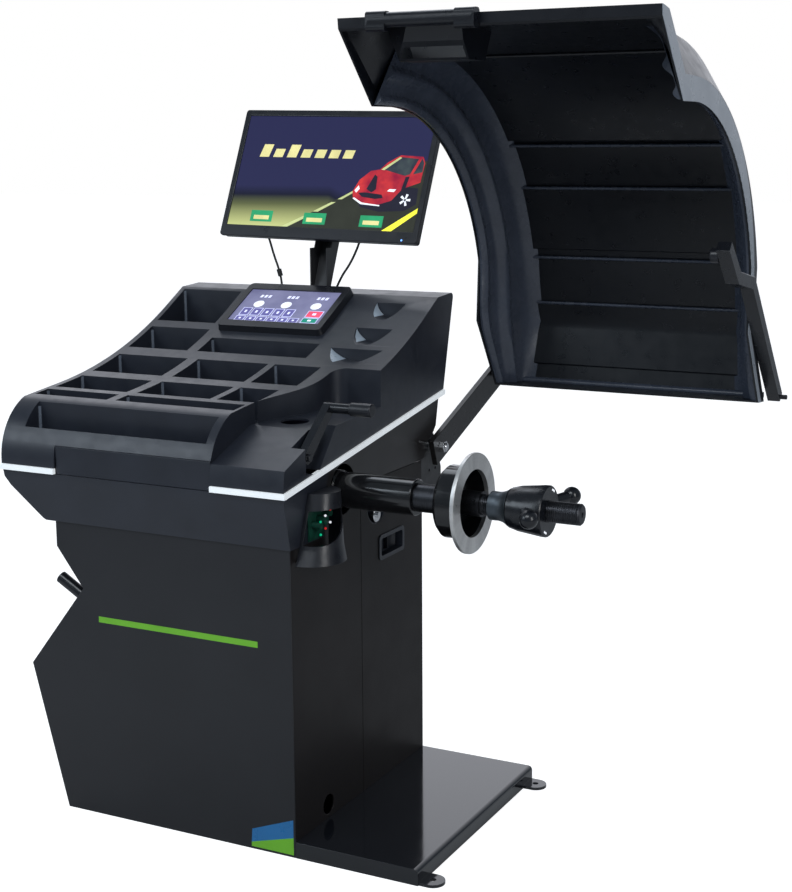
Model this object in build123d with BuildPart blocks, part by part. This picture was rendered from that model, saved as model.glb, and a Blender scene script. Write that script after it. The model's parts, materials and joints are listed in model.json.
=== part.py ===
from build123d import *
from math import atan2, cos, hypot, radians, sin, tan
import os

os.makedirs("parts", exist_ok=True)

# The origin is on the floor under the middle of the whole machine.
# SIDE_X is the outer face of the cabinet's right side and FRONT_Y that of its front.
# Every place below is measured from these two faces and the floor, in millimetres.
SIDE_X = -20.0
FRONT_Y = -447.24

SHEET = 3.0
CABINET_DEPTH = 545.0
PANEL_TOP = 690.0
SIDE_SPLIT = 672.0
SEAM_Y = 272.0

SHAFT_Y, SHAFT_Z = 202.0, 677.0
HOUSING_R = 35.0
HOUSING_END = 162.0
BORE_R = 15.0
NECK_R = 27.0
THREAD_R = 20.0
THREAD_START, THREAD_END = 296.0, 491.0
FLANGE_BACK, FLANGE_FACE = 221.0, 279.0
RING_R, RING_BORE_R, RING_THICK = 94.5, 63.75, 8.0
FIT = 0.06
NUT_START, NUT_END = 314.0, 427.0

COVER_LEFT, COVER_RIGHT = -646.0, 6.0
COVER_WALL = 4.0
STRIP_HIGH = 12.0
STRIP_FRONT_Z = 709.0
STRIP_RISE = 0.1455
NOSE_Y = -27.0
COVER_BACK_Y = 687.0

PIVOT_Y, PIVOT_Z = 588.0, 696.0
PIN_R = 8.0

MOTOR_Y, MOTOR_Z = SHAFT_Y, 400.0
SPINDLE_PULLEY_R, MOTOR_PULLEY_R = 60.0, 20.0

SCREEN_W, SCREEN_H = 498.0, 301.0
SCREEN_TILT = 23.3
SCREEN_ROLL = -1.25
SCREEN_CENTRE = (-290.0, 672.0, 1265.0)


def level(z):
    """A plane for plan views at height z: right is x, back is y."""
    return Plane(origin=(SIDE_X, FRONT_Y, z))


def across(x):
    """A plane for side views at x: back is x, up is y, and extrusion goes right."""
    return Plane(origin=(SIDE_X + x, FRONT_Y, 0), x_dir=(0, 1, 0), z_dir=(1, 0, 0))


def facing(y):
    """A plane for front views at y: right is x, up is y, and extrusion goes to the front."""
    return Plane(origin=(SIDE_X, FRONT_Y + y, 0), x_dir=(1, 0, 0), z_dir=(0, -1, 0))


def place(x, y, z):
    """A point given from the cabinet's faces, in the part's frame."""
    return (SIDE_X + x, FRONT_Y + y, z)


def block(x, y, z, mode=Mode.ADD):
    """Adds or cuts a box between two values on each axis."""
    with Locations(place(sum(x) / 2, sum(y) / 2, sum(z) / 2)):
        Box(x[1] - x[0], y[1] - y[0], z[1] - z[0], mode=mode)


def turned(x0, x1, radius, y=SHAFT_Y, z=SHAFT_Z, mode=Mode.ADD):
    """Adds or cuts a cylinder along x, on the shaft's axis unless told otherwise."""
    with Locations(Location(place((x0 + x1) / 2, y, z), (0, 90, 0))):
        Cylinder(radius, x1 - x0, mode=mode)


def hoop(x0, x1, radius, bore, y=SHAFT_Y, z=SHAFT_Z):
    """A ring along x, made apart so that it can be added or cut."""
    with BuildPart() as made:
        turned(x0, x1, radius, y, z)
        turned(x0 - 1, x1 + 1, bore, y, z, mode=Mode.SUBTRACT)
    return made.part


def save(piece, label):
    """Names a finished piece and writes it."""
    piece.part.label = label
    export_step(piece.part, f"parts/{label}.step")


def strip_z(y):
    """The height of the white trim's middle line, which climbs to the back."""
    return STRIP_FRONT_Z + STRIP_RISE * max(0.0, y - NOSE_Y)


# ---------------------------------------------------------------- cabinet
CABINET_OUTLINE = [(-540, 0), (-617, 298), (-479, 471), (-540, 551), (-540, PANEL_TOP)]
INLET = ((-120, -92), (130, 150))
POCKET_Y, POCKET_Z, POCKET_R = 339.0, 620.0, 41.0
SWITCH_Y, SWITCH_Z = (352.0, 452.0), (504.0, 546.0)
TUNNEL_R = 50.0


def make_front_and_back():
    """The two profiled end sheets."""
    with BuildPart() as front:
        with BuildSketch(facing(SHEET)):
            Polygon(*CABINET_OUTLINE, (0, PANEL_TOP), (0, 0), align=None)
        extrude(amount=SHEET)
    save(front, "front_panel")
    with BuildPart() as back:
        with BuildSketch(facing(CABINET_DEPTH)):
            Polygon(*CABINET_OUTLINE[:4], (-540, SIDE_SPLIT), (0, SIDE_SPLIT), (0, 0), align=None)
        extrude(amount=SHEET)
        block(INLET[0], (530, 560), INLET[1], mode=Mode.SUBTRACT)
    save(back, "back_panel")


def make_left_panel():
    """One sheet folded round the left side."""
    inner = [(x + SHEET + 1, z) for x, z in reversed(CABINET_OUTLINE)]
    with BuildPart() as left:
        with BuildSketch(facing(CABINET_DEPTH - SHEET)):
            Polygon(*CABINET_OUTLINE, *inner, align=None)
        extrude(amount=CABINET_DEPTH - 2 * SHEET)
    save(left, "left_panel")


def make_right_panels():
    """The lower right side in two sheets, with the opening for the spindle housing."""
    with BuildPart() as fore:
        block((-SHEET, 0), (SHEET, SEAM_Y - 0.5), (0, SIDE_SPLIT))
        turned(-20, 20, TUNNEL_R, mode=Mode.SUBTRACT)
        turned(-20, 20, 20, 128.5, 59, mode=Mode.SUBTRACT)
    save(fore, "right_front_panel")
    with BuildPart() as rear:
        block((-SHEET, 0), (SEAM_Y + 0.5, CABINET_DEPTH - SHEET), (0, SIDE_SPLIT))
        turned(-20, 20, POCKET_R, POCKET_Y, POCKET_Z, mode=Mode.SUBTRACT)
        block((-20, 20), SWITCH_Y, SWITCH_Z, mode=Mode.SUBTRACT)
    save(rear, "right_rear_panel")


def make_upper_sheets():
    """The flat upper side with its sloped rear corner, and the folded sheet behind it."""
    under_trim = STRIP_HIGH / 2 + 0.5
    rear_edge = [(555, SIDE_SPLIT + 1), (558, 678), (614, 736), (628, strip_z(628) - under_trim)]
    with BuildPart() as upper:
        with BuildSketch(across(-SHEET)):
            Polygon(
                (SHEET, SIDE_SPLIT + 1),
                *rear_edge,
                (SHEET, strip_z(SHEET) - under_trim),
                align=None,
            )
        extrude(amount=SHEET)
        turned(-20, 20, TUNNEL_R, mode=Mode.SUBTRACT)
        turned(-20, 20, 16, PIVOT_Y, PIVOT_Z, mode=Mode.SUBTRACT)
    save(upper, "upper_side_panel")
    inner = [(y - SHEET, z + 1) for y, z in reversed(rear_edge)]
    with BuildPart() as rear:
        with BuildSketch(across(-540)):
            Polygon(*rear_edge, *inner, align=None)
        extrude(amount=540 - 24)
    save(rear, "upper_rear_panel")


def make_floor():
    """The cabinet's floor plate, which it rests on."""
    with BuildPart() as floor:
        block((-534, -SHEET), (SHEET, CABINET_DEPTH - SHEET), (0, 4))
    save(floor, "cabinet_floor")


PLATFORM_W, PLATFORM_H, PLATFORM_T = 259.0, 32.0, 4.0
LUG_R, LUG_HOLE_R = 23.0, 6.0
LUG_X = PLATFORM_W + 18
LUG_YS = (26.0, CABINET_DEPTH - 26.0)


def make_platform():
    """A folded base plate beside the cabinet, with two round floor lugs welded on."""
    with BuildPart() as platform:
        block((0, PLATFORM_W), (0, CABINET_DEPTH), (0, PLATFORM_H))
        top_edges = platform.edges().filter_by(Axis.Y).group_by(Axis.Z)[-1]
        fillet(top_edges.sort_by(Axis.X)[-1], radius=9)
        hollow_y = (PLATFORM_T, CABINET_DEPTH - PLATFORM_T)
        block((0, PLATFORM_W - PLATFORM_T), hollow_y, (0, PLATFORM_H - PLATFORM_T), mode=Mode.SUBTRACT)
        for y in LUG_YS:
            with BuildSketch(level(0)):
                with Locations((LUG_X, y)):
                    Circle(LUG_R)
                with Locations(((PLATFORM_W + LUG_X) / 2, y)):
                    Rectangle(LUG_X - PLATFORM_W, 2 * LUG_R)
            extrude(amount=6)
            with BuildSketch(level(0)):
                with Locations((LUG_X, y)):
                    Circle(LUG_HOLE_R)
            extrude(amount=6, mode=Mode.SUBTRACT)
    save(platform, "platform")


PEG_R, PEG_LONG = 12.5, 66.0
PEG_YS = (25.0, 195.0, 365.0)
PEG_FOOT = (-496.0, 447.0)
PEG_RISE = 30.0


def make_cone_pegs():
    """Pegs for the centring cones, leaning up and out of the cabinet's waist."""
    outward = (-cos(radians(PEG_RISE)), 0, sin(radians(PEG_RISE)))
    with BuildPart() as pegs:
        for y in PEG_YS:
            with BuildSketch(Plane(origin=place(PEG_FOOT[0], y, PEG_FOOT[1]), z_dir=outward)):
                Circle(PEG_R)
            extrude(amount=PEG_LONG)
            with BuildSketch(Plane(origin=place(PEG_FOOT[0], y, PEG_FOOT[1]), z_dir=outward)):
                Circle(PEG_R - 3)
            extrude(amount=PEG_LONG, mode=Mode.SUBTRACT)
            with BuildSketch(Plane(origin=place(PEG_FOOT[0], y, PEG_FOOT[1]), z_dir=outward)):
                Circle(PEG_R)
            extrude(amount=20)
        with BuildSketch(facing(CABINET_DEPTH)):
            Polygon(*CABINET_OUTLINE[1:4], (0, 551), (0, 298), align=None)
        extrude(amount=CABINET_DEPTH, mode=Mode.SUBTRACT)
    save(pegs, "cone_pegs")


def make_side_fittings():
    """The weight pocket, the mains switch and the mains inlet."""
    with BuildPart() as pocket:
        turned(-28, 0, POCKET_R, POCKET_Y, POCKET_Z)
        turned(-25.5, 0, POCKET_R - 2.5, POCKET_Y, POCKET_Z, mode=Mode.SUBTRACT)
    save(pocket, "weight_pocket")
    with BuildPart() as weight:
        turned(-25.5, 3, 15, POCKET_Y - 2, POCKET_Z - 22)
        chamfer(weight.edges().filter_by(GeomType.CIRCLE).sort_by(Axis.X)[-1], length=1.5)
        turned(3, 7, 6, POCKET_Y - 2, POCKET_Z - 22)
    save(weight, "calibration_weight")
    with BuildPart() as dish:
        with BuildSketch(across(-26)):
            with Locations((sum(SWITCH_Y) / 2, sum(SWITCH_Z) / 2)):
                Rectangle(SWITCH_Y[1] - SWITCH_Y[0], SWITCH_Z[1] - SWITCH_Z[0])
        extrude(amount=26)
        with BuildSketch(across(0)):
            with Locations((sum(SWITCH_Y) / 2, sum(SWITCH_Z) / 2)):
                RectangleRounded(SWITCH_Y[1] - SWITCH_Y[0] + 10, SWITCH_Z[1] - SWITCH_Z[0] + 10, 9)
        extrude(amount=2.5)
        with BuildSketch(across(-16)):
            with Locations((sum(SWITCH_Y) / 2, sum(SWITCH_Z) / 2)):
                RectangleRounded(SWITCH_Y[1] - SWITCH_Y[0] - 6, SWITCH_Z[1] - SWITCH_Z[0] - 6, 6)
        extrude(amount=20, mode=Mode.SUBTRACT)
        block((-30, -12), (398, 446), (510, 540), mode=Mode.SUBTRACT)
    save(dish, "switch_recess")
    with BuildPart() as rocker:
        with BuildSketch(level(511)):
            with BuildLine():
                Line((-18, 402), (-8.5, 402))
                ThreePointArc((-8.5, 402), (-14.5, 422), (-11, 442))
                Line((-11, 442), (-18, 442))
                ThreePointArc((-18, 442), (-24, 422), (-18, 402))
            make_face()
        extrude(amount=28)
    save(rocker, "power_rocker")
    with BuildPart() as inlet:
        block(INLET[0], (525, 545), INLET[1])
        block((INLET[0][0] - 6, INLET[0][1] + 6), (545, 548), (INLET[1][0] - 6, INLET[1][1] + 6))
        block((-116, -96), (533, 549), (133, 147), mode=Mode.SUBTRACT)
        for x in (-111, -106, -101):
            block((x - 1, x + 1), (532, 544), (137, 143))
    save(inlet, "mains_inlet")


# ---------------------------------------------------------------- skirt and trim
SKIRT_BOTTOM = 603.0
SKIRT_WALL = 3.5


def make_skirt():
    """The moulded skirt under the cover, across the front and down the left side."""
    top = strip_z(NOSE_Y) - STRIP_HIGH / 2
    ends = [(-644, 688), (-632, 670), (-567, SKIRT_BOTTOM + 4)]
    with BuildPart() as skirt:
        with BuildSketch(across(-646)):
            Polygon((-24, top), (-23, 690), (-4, SKIRT_BOTTOM), (-0.5, SKIRT_BOTTOM), (-0.5, top), align=None)
        extrude(amount=650)
        with BuildSketch(across(-642)):
            Polygon(
                (-24 + SKIRT_WALL, top + 1),
                (-23 + SKIRT_WALL, 690),
                (-0.5, SKIRT_BOTTOM + 14),
                (5, top + 1),
                align=None,
            )
        extrude(amount=642.5, mode=Mode.SUBTRACT)
        with BuildSketch(facing(60)):
            Polygon((-660, 590), (-660, top), (-646, top), *ends, (-560, SKIRT_BOTTOM), (-560, 590), align=None)
        extrude(amount=100, mode=Mode.SUBTRACT)
        with BuildSketch(across(0.5)):
            Polygon((-0.5, SKIRT_BOTTOM), (-0.5, top), (138, strip_z(138) - 6.5), (138, 716), (128, 690), (120, SKIRT_BOTTOM), align=None)
        extrude(amount=3.5)
        outline = [(-646, top), *ends, (-544, SKIRT_BOTTOM + 4), (-544, SKIRT_BOTTOM + 8)]
        inward = [(-566, SKIRT_BOTTOM + 8), (-629, 672), (-640, 690), (-642, top)]
        with BuildSketch(facing(-1)):
            Polygon(*outline, *inward, align=None)
        slope = Vector(0, 1, STRIP_RISE).normalized()
        extrude(amount=637, dir=slope)
    save(skirt, "cover_skirt")


NOSE_PANEL_X = (-515.0, -153.0)


def make_trim():
    """The white trim strip: two short runs on the nose and one down each side."""
    with BuildPart() as trim:
        for x in ((COVER_LEFT - 4, NOSE_PANEL_X[0] - 1), (NOSE_PANEL_X[1] + 1, COVER_RIGHT + 4)):
            block(x, (NOSE_Y - 4, NOSE_Y + 5), (strip_z(NOSE_Y) - 5.5, strip_z(NOSE_Y) + 5.5))
        for x in (COVER_LEFT - 4, COVER_RIGHT - 5):
            with BuildSketch(across(x)):
                Polygon(
                    (NOSE_Y - 4, strip_z(NOSE_Y) - 5.5),
                    (NOSE_Y, strip_z(NOSE_Y) - 5.5),
                    (640, strip_z(640) - 5.5),
                    (640, strip_z(640) + 5.5),
                    (NOSE_Y, strip_z(NOSE_Y) + 5.5),
                    (NOSE_Y - 4, strip_z(NOSE_Y) + 5.5),
                    align=None,
                )
            extrude(amount=9)
    save(trim, "trim_strip")


def make_nose_panel():
    """The blank insert let into the cover's nose."""
    with BuildPart() as panel:
        block((NOSE_PANEL_X[0] + 1, NOSE_PANEL_X[1] - 1), (NOSE_Y + 4.5, NOSE_Y + 7.5), (703.5, 759))
    save(panel, "nose_panel")


# ---------------------------------------------------------------- weight tray cover
LEDGE = [(NOSE_Y + 5, 755), (116, 806), (350, 816)]
RIM_TURN_Y = 350.0
# Each pocket is its span in x, its span in y and how far its floor lies under the surface at its front edge.
POCKETS = [
    ((-598, -171), (-8, 38), 46),
    ((-636, -457), (71, 112), 52),
    ((-436, -160), (71, 112), 52),
    ((-632, -453), (131, 218), 52),
    ((-428, -254), (131, 218), 52),
    ((-238, -150), (131, 218), 52),
    ((-630, -452), (250, 346), 52),
    ((-426, -252), (250, 346), 52),
    ((-236, -128), (250, 346), 52),
    ((-632, -478), (381, 470), 50),
    ((-452, -184), (381, 440), 50),
    ((-634, -480), (494, 604), 50),
]
# Each rest for a cone is a level round-bottomed trough that the slope runs out of.
# It is given by its middle in x, its back wall's y, and its half width and depth there.
CONE_RESTS = [(-92, 588, 34, 31), (-89, 505, 42, 28), (-91, 429, 60, 24)]
CONE_REST_LONG = 160.0
DISPLAY_X, DISPLAY_Y = (-460.0, -196.0), (470.0, 620.0)
LEDGE_HOLE, LEDGE_HOLE_R = (-88.0, 174.0), 28.0


def surface_z(y):
    """The height of the cover's top surface at y, along its hollow slope."""
    line = [(-8, 785), (50, 838), (158, 850), (256, 867), (358, 892), (470, 931), (561, 982), (613, 1011), (700, 1015)]
    for (y0, z0), (y1, z1) in zip(line, line[1:]):
        if y <= y1:
            return z0 + (z1 - z0) * (y - y0) / (y1 - y0)
    return line[-1][1]


def cover_envelope(inset):
    """The cover's outside, drawn in by the inset on every side but underneath."""
    drop = 40 if inset else 0
    with BuildPart() as body:
        with BuildSketch(across(COVER_LEFT + inset)):
            with BuildLine():
                nose = (NOSE_Y, strip_z(NOSE_Y) + STRIP_HIGH / 2 - drop)
                back = (639, strip_z(639) + STRIP_HIGH / 2 - drop)
                ThreePointArc((NOSE_Y, strip_z(NOSE_Y) + STRIP_HIGH / 2), (-6, 792), (50, 838))
                Line((50, 838), (158, 850))
                ThreePointArc((158, 850), (358, 892), (561, 982))
                Line((561, 982), (613, 1011))
                Line((613, 1011), (COVER_BACK_Y - 8, 1015))
                ThreePointArc((COVER_BACK_Y - 8, 1015), (COVER_BACK_Y - 2.5, 1012), (COVER_BACK_Y, 1005))
                Line((COVER_BACK_Y, 1005), (639, strip_z(639) + STRIP_HIGH / 2))
                if drop:
                    Line((639, strip_z(639) + STRIP_HIGH / 2), back)
                Line(back, nose)
                if drop:
                    Line(nose, (NOSE_Y, strip_z(NOSE_Y) + STRIP_HIGH / 2))
            make_face()
            if inset:
                offset(amount=-inset, kind=Kind.INTERSECTION)
        extrude(amount=COVER_RIGHT - COVER_LEFT - 2 * inset)
        with BuildSketch(level(0)):
            with BuildLine():
                path = FilletPolyline(
                    (-700, -60),
                    (-153, -60),
                    (-153, 150),
                    (-95, 262),
                    (-95, RIM_TURN_Y),
                    (60, RIM_TURN_Y),
                    (60, 760),
                    (-700, 760),
                    radius=[40, 180, 180, 30, 0.5, 0.5],
                )
                Line(path @ 1, path @ 0)
            make_face()
            if inset:
                offset(amount=-inset, kind=Kind.INTERSECTION)
        extrude(amount=1200, mode=Mode.INTERSECT)
        with BuildSketch(across(-200)):
            low = strip_z(NOSE_Y) + STRIP_HIGH / 2
            Polygon((NOSE_Y, low - drop), (NOSE_Y + 1, low + 20), *LEDGE, (400, 818), (400, strip_z(400) + 6 - drop), align=None)
            if inset:
                offset(amount=-inset, kind=Kind.INTERSECTION)
        extrude(amount=200 + COVER_RIGHT - inset)
    return body.part


def pocket(span_x, span_y, deep, grow, mode=Mode.ADD):
    """One pocket's space, or with grow its walls as well, reaching up past the surface."""
    floor = surface_z(span_y[0]) - deep
    x = (span_x[0] - grow, span_x[1] + grow)
    y = (span_y[0] - grow, span_y[1] + grow)
    block(x, y, (floor - grow, 1100), mode=mode)


def cone_rest(middle, back_y, half_wide, deep, grow):
    """One trough for a cone, or with grow its walls as well."""
    radius = (half_wide**2 + deep**2) / (2 * deep)
    with BuildPart() as trough:
        with BuildSketch(facing(back_y + grow)):
            with Locations((middle, surface_z(back_y) - deep + radius)):
                Circle(radius + grow)
        extrude(amount=CONE_REST_LONG)
    return trough.part


def gauge_notch(grow):
    """The gauge arm's resting place in the cover's right edge."""
    with BuildPart() as notch:
        with BuildSketch(across(-24 - grow)):
            Polygon((49, 900), (54, 735), (99, 728), (178, 820), (178, 900), align=None)
            if grow:
                offset(amount=grow, kind=Kind.INTERSECTION)
        extrude(amount=60)
    return notch.part


def display_plane(lift=0.0):
    """The sloped plane that the display lies in, its x to the right and y up the slope."""
    y = sum(DISPLAY_Y) / 2
    slope = atan2(surface_z(DISPLAY_Y[1]) - surface_z(DISPLAY_Y[0]), DISPLAY_Y[1] - DISPLAY_Y[0])
    normal = Vector(0, -sin(slope), cos(slope))
    middle = Vector(*place(sum(DISPLAY_X) / 2, y, surface_z(y))) + normal * lift
    return Plane(origin=middle, x_dir=(1, 0, 0), z_dir=normal)


DISPLAY_W = DISPLAY_X[1] - DISPLAY_X[0]
DISPLAY_L = 172.0
SCREEN_GLASS = (228.0, 122.0)


def make_tray():
    """The moulded cover with its pockets, a thin shell open underneath."""
    outside = cover_envelope(0)
    inside = cover_envelope(COVER_WALL)
    notch = gauge_notch(0)
    notch_walls = gauge_notch(COVER_WALL)
    with BuildPart() as walls:
        for span_x, span_y, deep in POCKETS:
            pocket(span_x, span_y, deep, COVER_WALL)
        for rest in CONE_RESTS:
            add(cone_rest(*rest, COVER_WALL))
        add(notch_walls)
        add(outside, mode=Mode.INTERSECT)
    with BuildPart() as tray:
        add(outside)
        add(inside, mode=Mode.SUBTRACT)
        add(walls.part)
        for span_x, span_y, deep in POCKETS:
            pocket(span_x, span_y, deep, 0, mode=Mode.SUBTRACT)
        for rest in CONE_RESTS:
            add(cone_rest(*rest, 0), mode=Mode.SUBTRACT)
        add(notch, mode=Mode.SUBTRACT)
        turned(-40, 0, 6.5, GAUGE_Y, GAUGE_Z, mode=Mode.SUBTRACT)
        with BuildSketch(level(700)):
            with Locations(LEDGE_HOLE):
                Circle(LEDGE_HOLE_R)
        extrude(amount=130, mode=Mode.SUBTRACT)
        with BuildSketch(display_plane(-16)):
            Rectangle(DISPLAY_W - 10, DISPLAY_L - 10)
        extrude(amount=60, mode=Mode.SUBTRACT)
        with BuildSketch(display_plane(0.3)):
            RectangleRounded(DISPLAY_W + 1, DISPLAY_L + 1, 14)
        extrude(amount=40, mode=Mode.SUBTRACT)
        block(NOSE_PANEL_X, (NOSE_Y - 10, NOSE_Y + 7.5), (600, 760), mode=Mode.SUBTRACT)
    save(tray, "weight_tray")


def make_display():
    """The key display: a raised bezel let into the cover, and its glass."""
    with BuildPart() as bezel:
        with BuildSketch(display_plane(0.6)):
            RectangleRounded(DISPLAY_W, DISPLAY_L, 14)
        extrude(amount=15, taper=12)
        with BuildSketch(display_plane(-14)):
            Rectangle(DISPLAY_W - 10.5, DISPLAY_L - 10.5)
        extrude(amount=14.6)
        with BuildSketch(display_plane(-14)):
            Rectangle(DISPLAY_W - 18, DISPLAY_L - 18)
        extrude(amount=26.6, mode=Mode.SUBTRACT)
        with BuildSketch(display_plane(9)):
            Rectangle(SCREEN_GLASS[0], SCREEN_GLASS[1])
        extrude(amount=12, mode=Mode.SUBTRACT)
    save(bezel, "key_bezel")
    with BuildPart() as glass:
        with BuildSketch(display_plane(9)):
            Rectangle(DISPLAY_W - 18.5, DISPLAY_L - 18.5)
        extrude(amount=3.4)
        with BuildSketch(display_plane(12.4)):
            Rectangle(SCREEN_GLASS[0] - 0.5, SCREEN_GLASS[1] - 0.5)
        extrude(amount=1)
    save(glass, "key_screen")


# ---------------------------------------------------------------- distance gauge
GAUGE_Y, GAUGE_Z = 74.0, 762.0
ELBOW_Y, ELBOW_Z = 166.0, 842.0
GAUGE_TIP = 86.0
RAIL_Z = 730.0


def make_gauge():
    """The sliding, turning distance gauge and the rail that it runs on."""
    with BuildPart() as bracket:
        block((-330, -32), (SHEET, 100), (703, 706))
        for x in (-330, -36):
            block((x, x + 4), (58, 90), (706, 742))
        turned(-340, 0, 5, GAUGE_Y, RAIL_Z, mode=Mode.SUBTRACT)
        turned(-330, -32, 5, GAUGE_Y, RAIL_Z)
    save(bracket, "gauge_rail")
    with BuildPart() as carriage:
        block((-290, -250), (56, 92), (716, 776))
        turned(-300, -240, 5 + FIT, GAUGE_Y, RAIL_Z, mode=Mode.SUBTRACT)
        turned(-300, -240, 6 + FIT, GAUGE_Y, GAUGE_Z, mode=Mode.SUBTRACT)
    save(carriage, "gauge_carriage")
    with BuildPart() as rod:
        turned(-300, 0, 6, GAUGE_Y, GAUGE_Z)
    save(rod, "gauge_rod")
    with BuildPart() as arm:
        with BuildSketch(across(-17)):
            with BuildSketch(mode=Mode.PRIVATE) as ends:
                with Locations((GAUGE_Y, GAUGE_Z)):
                    Circle(13)
                with Locations((ELBOW_Y, ELBOW_Z)):
                    Circle(10)
            make_hull(ends.edges())
        extrude(amount=16)
        turned(-4, 40, 10, ELBOW_Y, ELBOW_Z)
        turned(40, GAUGE_TIP - 4, 6, ELBOW_Y, ELBOW_Z)
        turned(-20, -1, 6, GAUGE_Y, GAUGE_Z, mode=Mode.SUBTRACT)
    save(arm, "gauge_arm")
    with BuildPart() as handle:
        turned(40, GAUGE_TIP, 13, ELBOW_Y, ELBOW_Z)
        fillet(handle.edges().filter_by(GeomType.CIRCLE), radius=2.5)
        turned(39, GAUGE_TIP - 4, 6, ELBOW_Y, ELBOW_Z, mode=Mode.SUBTRACT)
        turned(0, 5, 7.5, GAUGE_Y, GAUGE_Z)
    save(handle, "gauge_handle")


# ---------------------------------------------------------------- laser lamp
LAMP_BACK = 4.6


def lamp_body(rings):
    """A flared round body through level circles, each at its height, place in y and radius."""
    with BuildPart() as body:
        for z, y, r in rings:
            with BuildSketch(level(z)):
                with Locations((LAMP_BACK, y)):
                    Circle(r)
        loft(ruled=True)
    return body.part


def make_lamp():
    """The lamp beside the spindle: a flared half-round case with a curved window."""
    outside = lamp_body([(570, 76, 64), (598, 82, 56), (697, 102, 41)])
    core = lamp_body([(569, 76, 61), (598, 82, 53), (694, 102, 38)])
    with BuildPart() as case:
        add(outside)
        add(core, mode=Mode.SUBTRACT)
        block((LAMP_BACK - 100, LAMP_BACK), (-50, 250), (500, 750), mode=Mode.SUBTRACT)
        with BuildSketch(across(LAMP_BACK + 6)):
            with BuildLine():
                Line((0, 655), (0, 612))
                ThreePointArc((0, 612), (86, 618), (128, 664))
                ThreePointArc((128, 664), (70, 668), (0, 655))
            make_face()
        extrude(amount=90, mode=Mode.SUBTRACT)
        block((LAMP_BACK, LAMP_BACK + 14), (30, 150), (571, 574))
    save(case, "lamp_case")
    with BuildPart() as board:
        block((LAMP_BACK + 0.5, LAMP_BACK + 2), (58, 114), (606, 674))
        for y, z, r in ((74, 636, 7), (94, 642, 9), (112, 652, 6)):
            turned(LAMP_BACK + 2, LAMP_BACK + 20, r, y, z)
    save(board, "lamp_board")


# ---------------------------------------------------------------- spindle and drive
PULLEY_X = (-364.0, -342.0)
DISC_X = -378.0


def make_housing():
    """The fixed bearing tube, its bearings, saddles and frame."""
    with BuildPart() as housing:
        turned(-330, HOUSING_END, HOUSING_R)
        turned(-30, -4, HOUSING_R + 3)
        chamfer(housing.edges().filter_by(GeomType.CIRCLE).sort_by(Axis.X)[-1], length=1.5)
        turned(-331, HOUSING_END + 1, 26, mode=Mode.SUBTRACT)
    save(housing, "spindle_housing")
    with BuildPart() as bearings:
        for x in (-328, 140):
            add(hoop(x, x + 20, 26, BORE_R + FIT))
            for groove in (x, x + 19):
                add(hoop(groove, groove + 1, 22.5, 18.5), mode=Mode.SUBTRACT)
    save(bearings, "spindle_bearings")
    with BuildPart() as frame:
        block((-340, -60), (122, 282), (560, 572))
        for x in (-340, -68):
            block((x, x + 8), (122, 282), (4, 560))
        turned(-345, -330, 30, MOTOR_Y, MOTOR_Z, mode=Mode.SUBTRACT)
    save(frame, "support_frame")
    with BuildPart() as saddles:
        for x in (-320, -110):
            block((x, x + 30), (158, 246), (572, 730))
            turned(x - 1, x + 31, HOUSING_R, mode=Mode.SUBTRACT)
    save(saddles, "housing_saddles")
    with BuildPart() as sensors:
        for x in (-305, -95):
            with BuildSketch(facing(158)):
                with Locations((x, SHAFT_Z)):
                    Circle(14)
            extrude(amount=12)
            block((x - 15, x + 15), (138, 146), (572, 700))
    save(sensors, "imbalance_sensors")


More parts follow.
